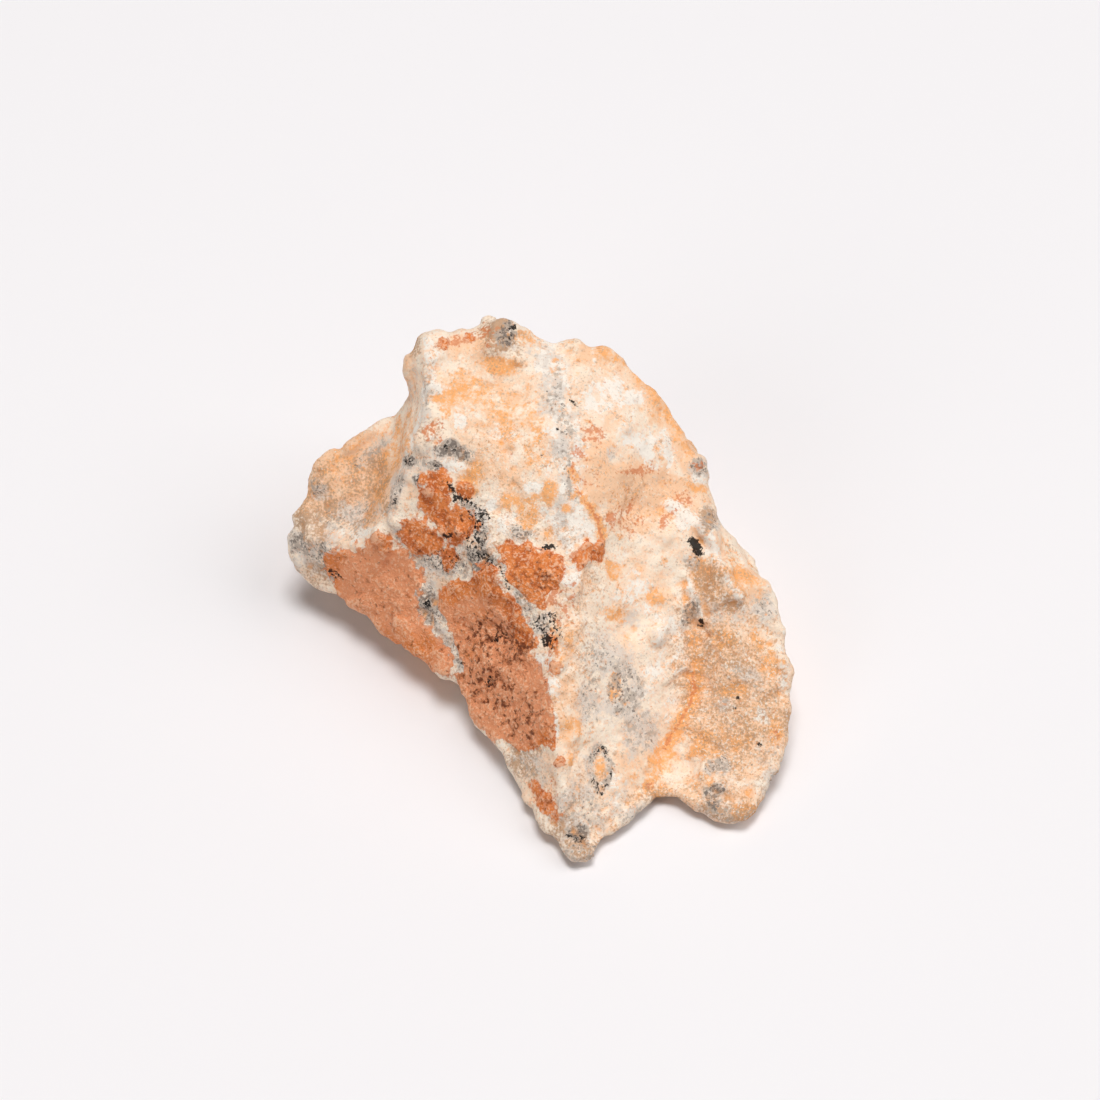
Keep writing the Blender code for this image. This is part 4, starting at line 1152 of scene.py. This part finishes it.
def mineral_patterns(tree):
    """Three independent values, a, b and c, of each mottling and of each size of grain."""
    place = add(tree, "ShaderNodeTexCoord").outputs["Object"]
    patterns = {}

    def keep(name, colour):
        parts = add(tree, "ShaderNodeSeparateColor", {0: colour})
        for letter, socket in zip("abc", parts.outputs):
            patterns[name + " " + letter] = socket

    for number, (name, (size, octaves, roughness)) in enumerate(MOTTLES.items(), start=1):
        moved = add(tree, "ShaderNodeVectorMath", {0: place, 1: (number, number / 2, -number)},
                    operation="ADD")
        waves = add(tree, "ShaderNodeTexNoise", {"Vector": moved, "Scale": 1.0 / (size * MM),
                                                 "Detail": octaves, "Roughness": roughness})
        keep(name, waves.outputs["Color"])
    # The last and finest mottling makes the edges of the grains ragged
    for name, size in GRAINS.items():
        stray = add(tree, "ShaderNodeVectorMath",
                    {0: waves.outputs["Color"], "Scale": size * MM}, operation="SCALE")
        bent = add(tree, "ShaderNodeVectorMath", {0: place, 1: stray}, operation="ADD")
        cells = add(tree, "ShaderNodeTexVoronoi", {"Vector": bent, "Scale": 1.0 / (size * MM)})
        keep(name, cells.outputs["Color"])
    return patterns


def painted(tree, colour, layers, fields, patterns, paints):
    """The colour with layers over it, each broken up at its edge by patterns."""
    for _, field, gain, offset, paint, opacity, shares, edge in layers:
        signal = offset
        if field:
            signal = add(tree, "ShaderNodeMath", {0: fields[field], 1: gain, 2: offset},
                         operation="MULTIPLY_ADD")
        for pattern, share in shares.items():
            about = add(tree, "ShaderNodeMath", {0: patterns[pattern], 1: -PATTERN_MIDDLE},
                        operation="ADD")
            signal = add(tree, "ShaderNodeMath", {0: about, 1: share, 2: signal},
                         operation="MULTIPLY_ADD")
        shown = add(tree, "ShaderNodeMapRange",
                    {"Value": signal, "From Min": LAYER_START - edge,
                     "From Max": LAYER_START + edge, "To Max": opacity},
                    interpolation_type="SMOOTHSTEP")
        colour = add(tree, "ShaderNodeMix", {0: shown, 6: colour, 7: paints[paint]},
                     data_type="RGBA").outputs[2]
    return colour


def granular_bump(tree, fields, patterns):
    """Bump of the granular skin, between the sizes of a face and of a grain."""
    height = add(tree, "ShaderNodeMath", {0: patterns["mottle a"], 1: BUMP_MOTTLE,
                                          2: patterns["speck a"]}, operation="MULTIPLY_ADD")
    coarse = add(tree, "ShaderNodeMath", {0: fields["rough"], 1: BUMP_ON_BREAKS, 2: BUMP_LEAST},
                 operation="MULTIPLY_ADD")
    uneven = add(tree, "ShaderNodeMath", {0: fields["rust"], 1: BUMP_ON_RUST, 2: coarse},
                 operation="MULTIPLY_ADD")
    return add(tree, "ShaderNodeBump", {"Strength": uneven, "Distance": BUMP_HEIGHT * MM,
                                        "Height": height})


def breccia(colours):
    """Weathered feldspar breccia.

    A broken, unpolished stone: dull, granular to the eye, cream feldspar with grey matrix between
    the clasts, iron stains that spread from pores, and a thin rust crust that is rough and matt.
    """
    material = bpy.data.materials.new("weathered feldspar breccia")
    material.use_nodes = True
    tree = material.node_tree
    fields = {name: add(tree, "ShaderNodeAttribute", attribute_name=name).outputs["Fac"]
              for name in FIELDS + RELIEF}
    paints = {name: (*getattr(colours, name), 1.0) for name in colours.__annotations__}
    patterns = mineral_patterns(tree)
    paints["crust"] = painted(tree, paints["rust"], CRUST_LAYERS, fields, patterns, paints)
    colour = painted(tree, paints["cream"], STONE_LAYERS, fields, patterns, paints)
    bump = granular_bump(tree, fields, patterns)
    shader = tree.nodes["Principled BSDF"]
    tree.links.new(colour, shader.inputs["Base Color"])
    tree.links.new(bump.outputs[0], shader.inputs["Normal"])
    shader.inputs["Roughness"].default_value = 0.88
    shader.inputs["IOR"].default_value = 1.5
    shader.inputs["Specular IOR Level"].default_value = 0.3
    return material


def paper(colour):
    """Matt white paper, even in tone as in the photograph."""
    material = bpy.data.materials.new("matt white paper")
    material.use_nodes = True
    shader = material.node_tree.nodes["Principled BSDF"]
    shader.inputs["Base Color"].default_value = (*colour, 1.0)
    shader.inputs["Roughness"].default_value = 0.95
    shader.inputs["Specular IOR Level"].default_value = 0.1
    return material


def softbox(name, power, size, distance, turn, rise):
    """A square soft light that faces the stone from its direction in plan and its height."""
    lamp = bpy.data.lights.new(name, "AREA")
    lamp.shape = "SQUARE"
    lamp.size = size
    lamp.energy = power
    light = bpy.data.objects.new(name, lamp)
    toward = Vector((math.sin(turn) * math.cos(rise), -math.cos(turn) * math.cos(rise),
                     math.sin(rise)))
    light.location = VIEW_CENTRE * MM + toward * distance
    light.rotation_euler = toward.to_track_quat("Z", "Y").to_euler()
    bpy.context.scene.collection.objects.link(light)


class METEORITE_OT_stone(bpy.types.Operator):
    """Builds the stone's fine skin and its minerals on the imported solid"""

    bl_idname = "meteorite.stone"
    bl_label = "Build the stone"

    def execute(self, context):
        scene = context.scene
        shape = scene.stone_shape
        material = breccia(scene.stone_colours)
        stone = fine_copy(shape)
        skin = Skin(stone.data)
        seen, outline = seen_share(skin)
        raise_forms(skin, seen)
        store_fields(skin, seen, outline)
        tree, values = broken_skin_tree(shape, material)
        breaks = stone.modifiers.new("broken skin", "NODES")
        breaks.node_group = tree
        for identifier, value in values.items():
            breaks[identifier] = value
        baked(stone)
        skin = Skin(stone.data)
        keep_on_floor(skin)
        store_relief(skin)
        stone.data.shade_smooth()
        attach(stone, "root")
        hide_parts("stone")
        print("stone skin triangles", 2 * len(stone.data.polygons))
        return {"FINISHED"}


class METEORITE_OT_stage(bpy.types.Operator):
    """Sets the floor, the light and the camera"""

    bl_idname = "meteorite.stage"
    bl_label = "Set the stage"

    def execute(self, context):
        scene = context.scene
        studio = scene.studio
        half = studio.floor_size / 2
        mesh = bpy.data.meshes.new("floor")
        mesh.from_pydata([(-half, -half, 0), (half, -half, 0), (half, half, 0), (-half, half, 0)],
                         [], [(0, 1, 2, 3)])
        mesh.materials.append(paper(studio.floor_colour))
        floor = bpy.data.objects.new("floor", mesh)
        scene.collection.objects.link(floor)
        world = bpy.data.worlds.new("even white fill")
        world.use_nodes = True
        fill = world.node_tree.nodes["Background"]
        fill.inputs["Color"].default_value = (1.0, 1.0, 1.0, 1.0)
        fill.inputs["Strength"].default_value = studio.fill
        scene.world = world
        softbox("side softbox", studio.key_power, studio.key_size, studio.key_distance,
                studio.key_turn, studio.key_rise)
        softbox("overhead softbox", studio.top_power, studio.top_size, studio.top_height,
                0.0, math.pi / 2)
        softbox("front card", studio.card_power, studio.card_size, studio.card_distance,
                studio.card_turn, studio.card_rise)
        view = bpy.data.cameras.new("photograph")
        view.lens = LENS
        view.sensor_width = SENSOR
        view.clip_start = 1.0 * MM
        camera = bpy.data.objects.new("photograph", view)
        back = view_axes()[2]
        camera.location = (VIEW_CENTRE + back * VIEW_DISTANCE) * MM
        camera.rotation_euler = back.to_track_quat("Z", "Y").to_euler()
        scene.collection.objects.link(camera)
        scene.camera = camera
        scene.view_settings.view_transform = "Standard"
        return {"FINISHED"}


class METEORITE_PT_panel(bpy.types.Panel):
    """Lists the sizes and colours, and the operators that build the stone"""

    bl_label = "Lunar meteorite"
    bl_idname = "METEORITE_PT_panel"
    bl_space_type = "VIEW_3D"
    bl_region_type = "UI"
    bl_category = "Meteorite"

    def draw(self, context):
        for group in (context.scene.stone_shape, context.scene.stone_colours, context.scene.studio):
            box = self.layout.box()
            for name in group.__annotations__:
                box.prop(group, name)
        self.layout.operator(METEORITE_OT_stone.bl_idname)
        self.layout.operator(METEORITE_OT_stage.bl_idname)


CLASSES = [StoneShape, StoneColours, Studio, METEORITE_OT_stone, METEORITE_OT_stage,
           METEORITE_PT_panel]


def register():
    for each in CLASSES:
        bpy.utils.register_class(each)
    bpy.types.Scene.stone_shape = PointerProperty(type=StoneShape)
    bpy.types.Scene.stone_colours = PointerProperty(type=StoneColours)
    bpy.types.Scene.studio = PointerProperty(type=Studio)


def unregister():
    del bpy.types.Scene.stone_shape
    del bpy.types.Scene.stone_colours
    del bpy.types.Scene.studio
    for each in reversed(CLASSES):
        bpy.utils.unregister_class(each)


def main():
    register()
    bpy.ops.meteorite.stone()
    bpy.ops.meteorite.stage()


if __name__ == "__main__":
    main()
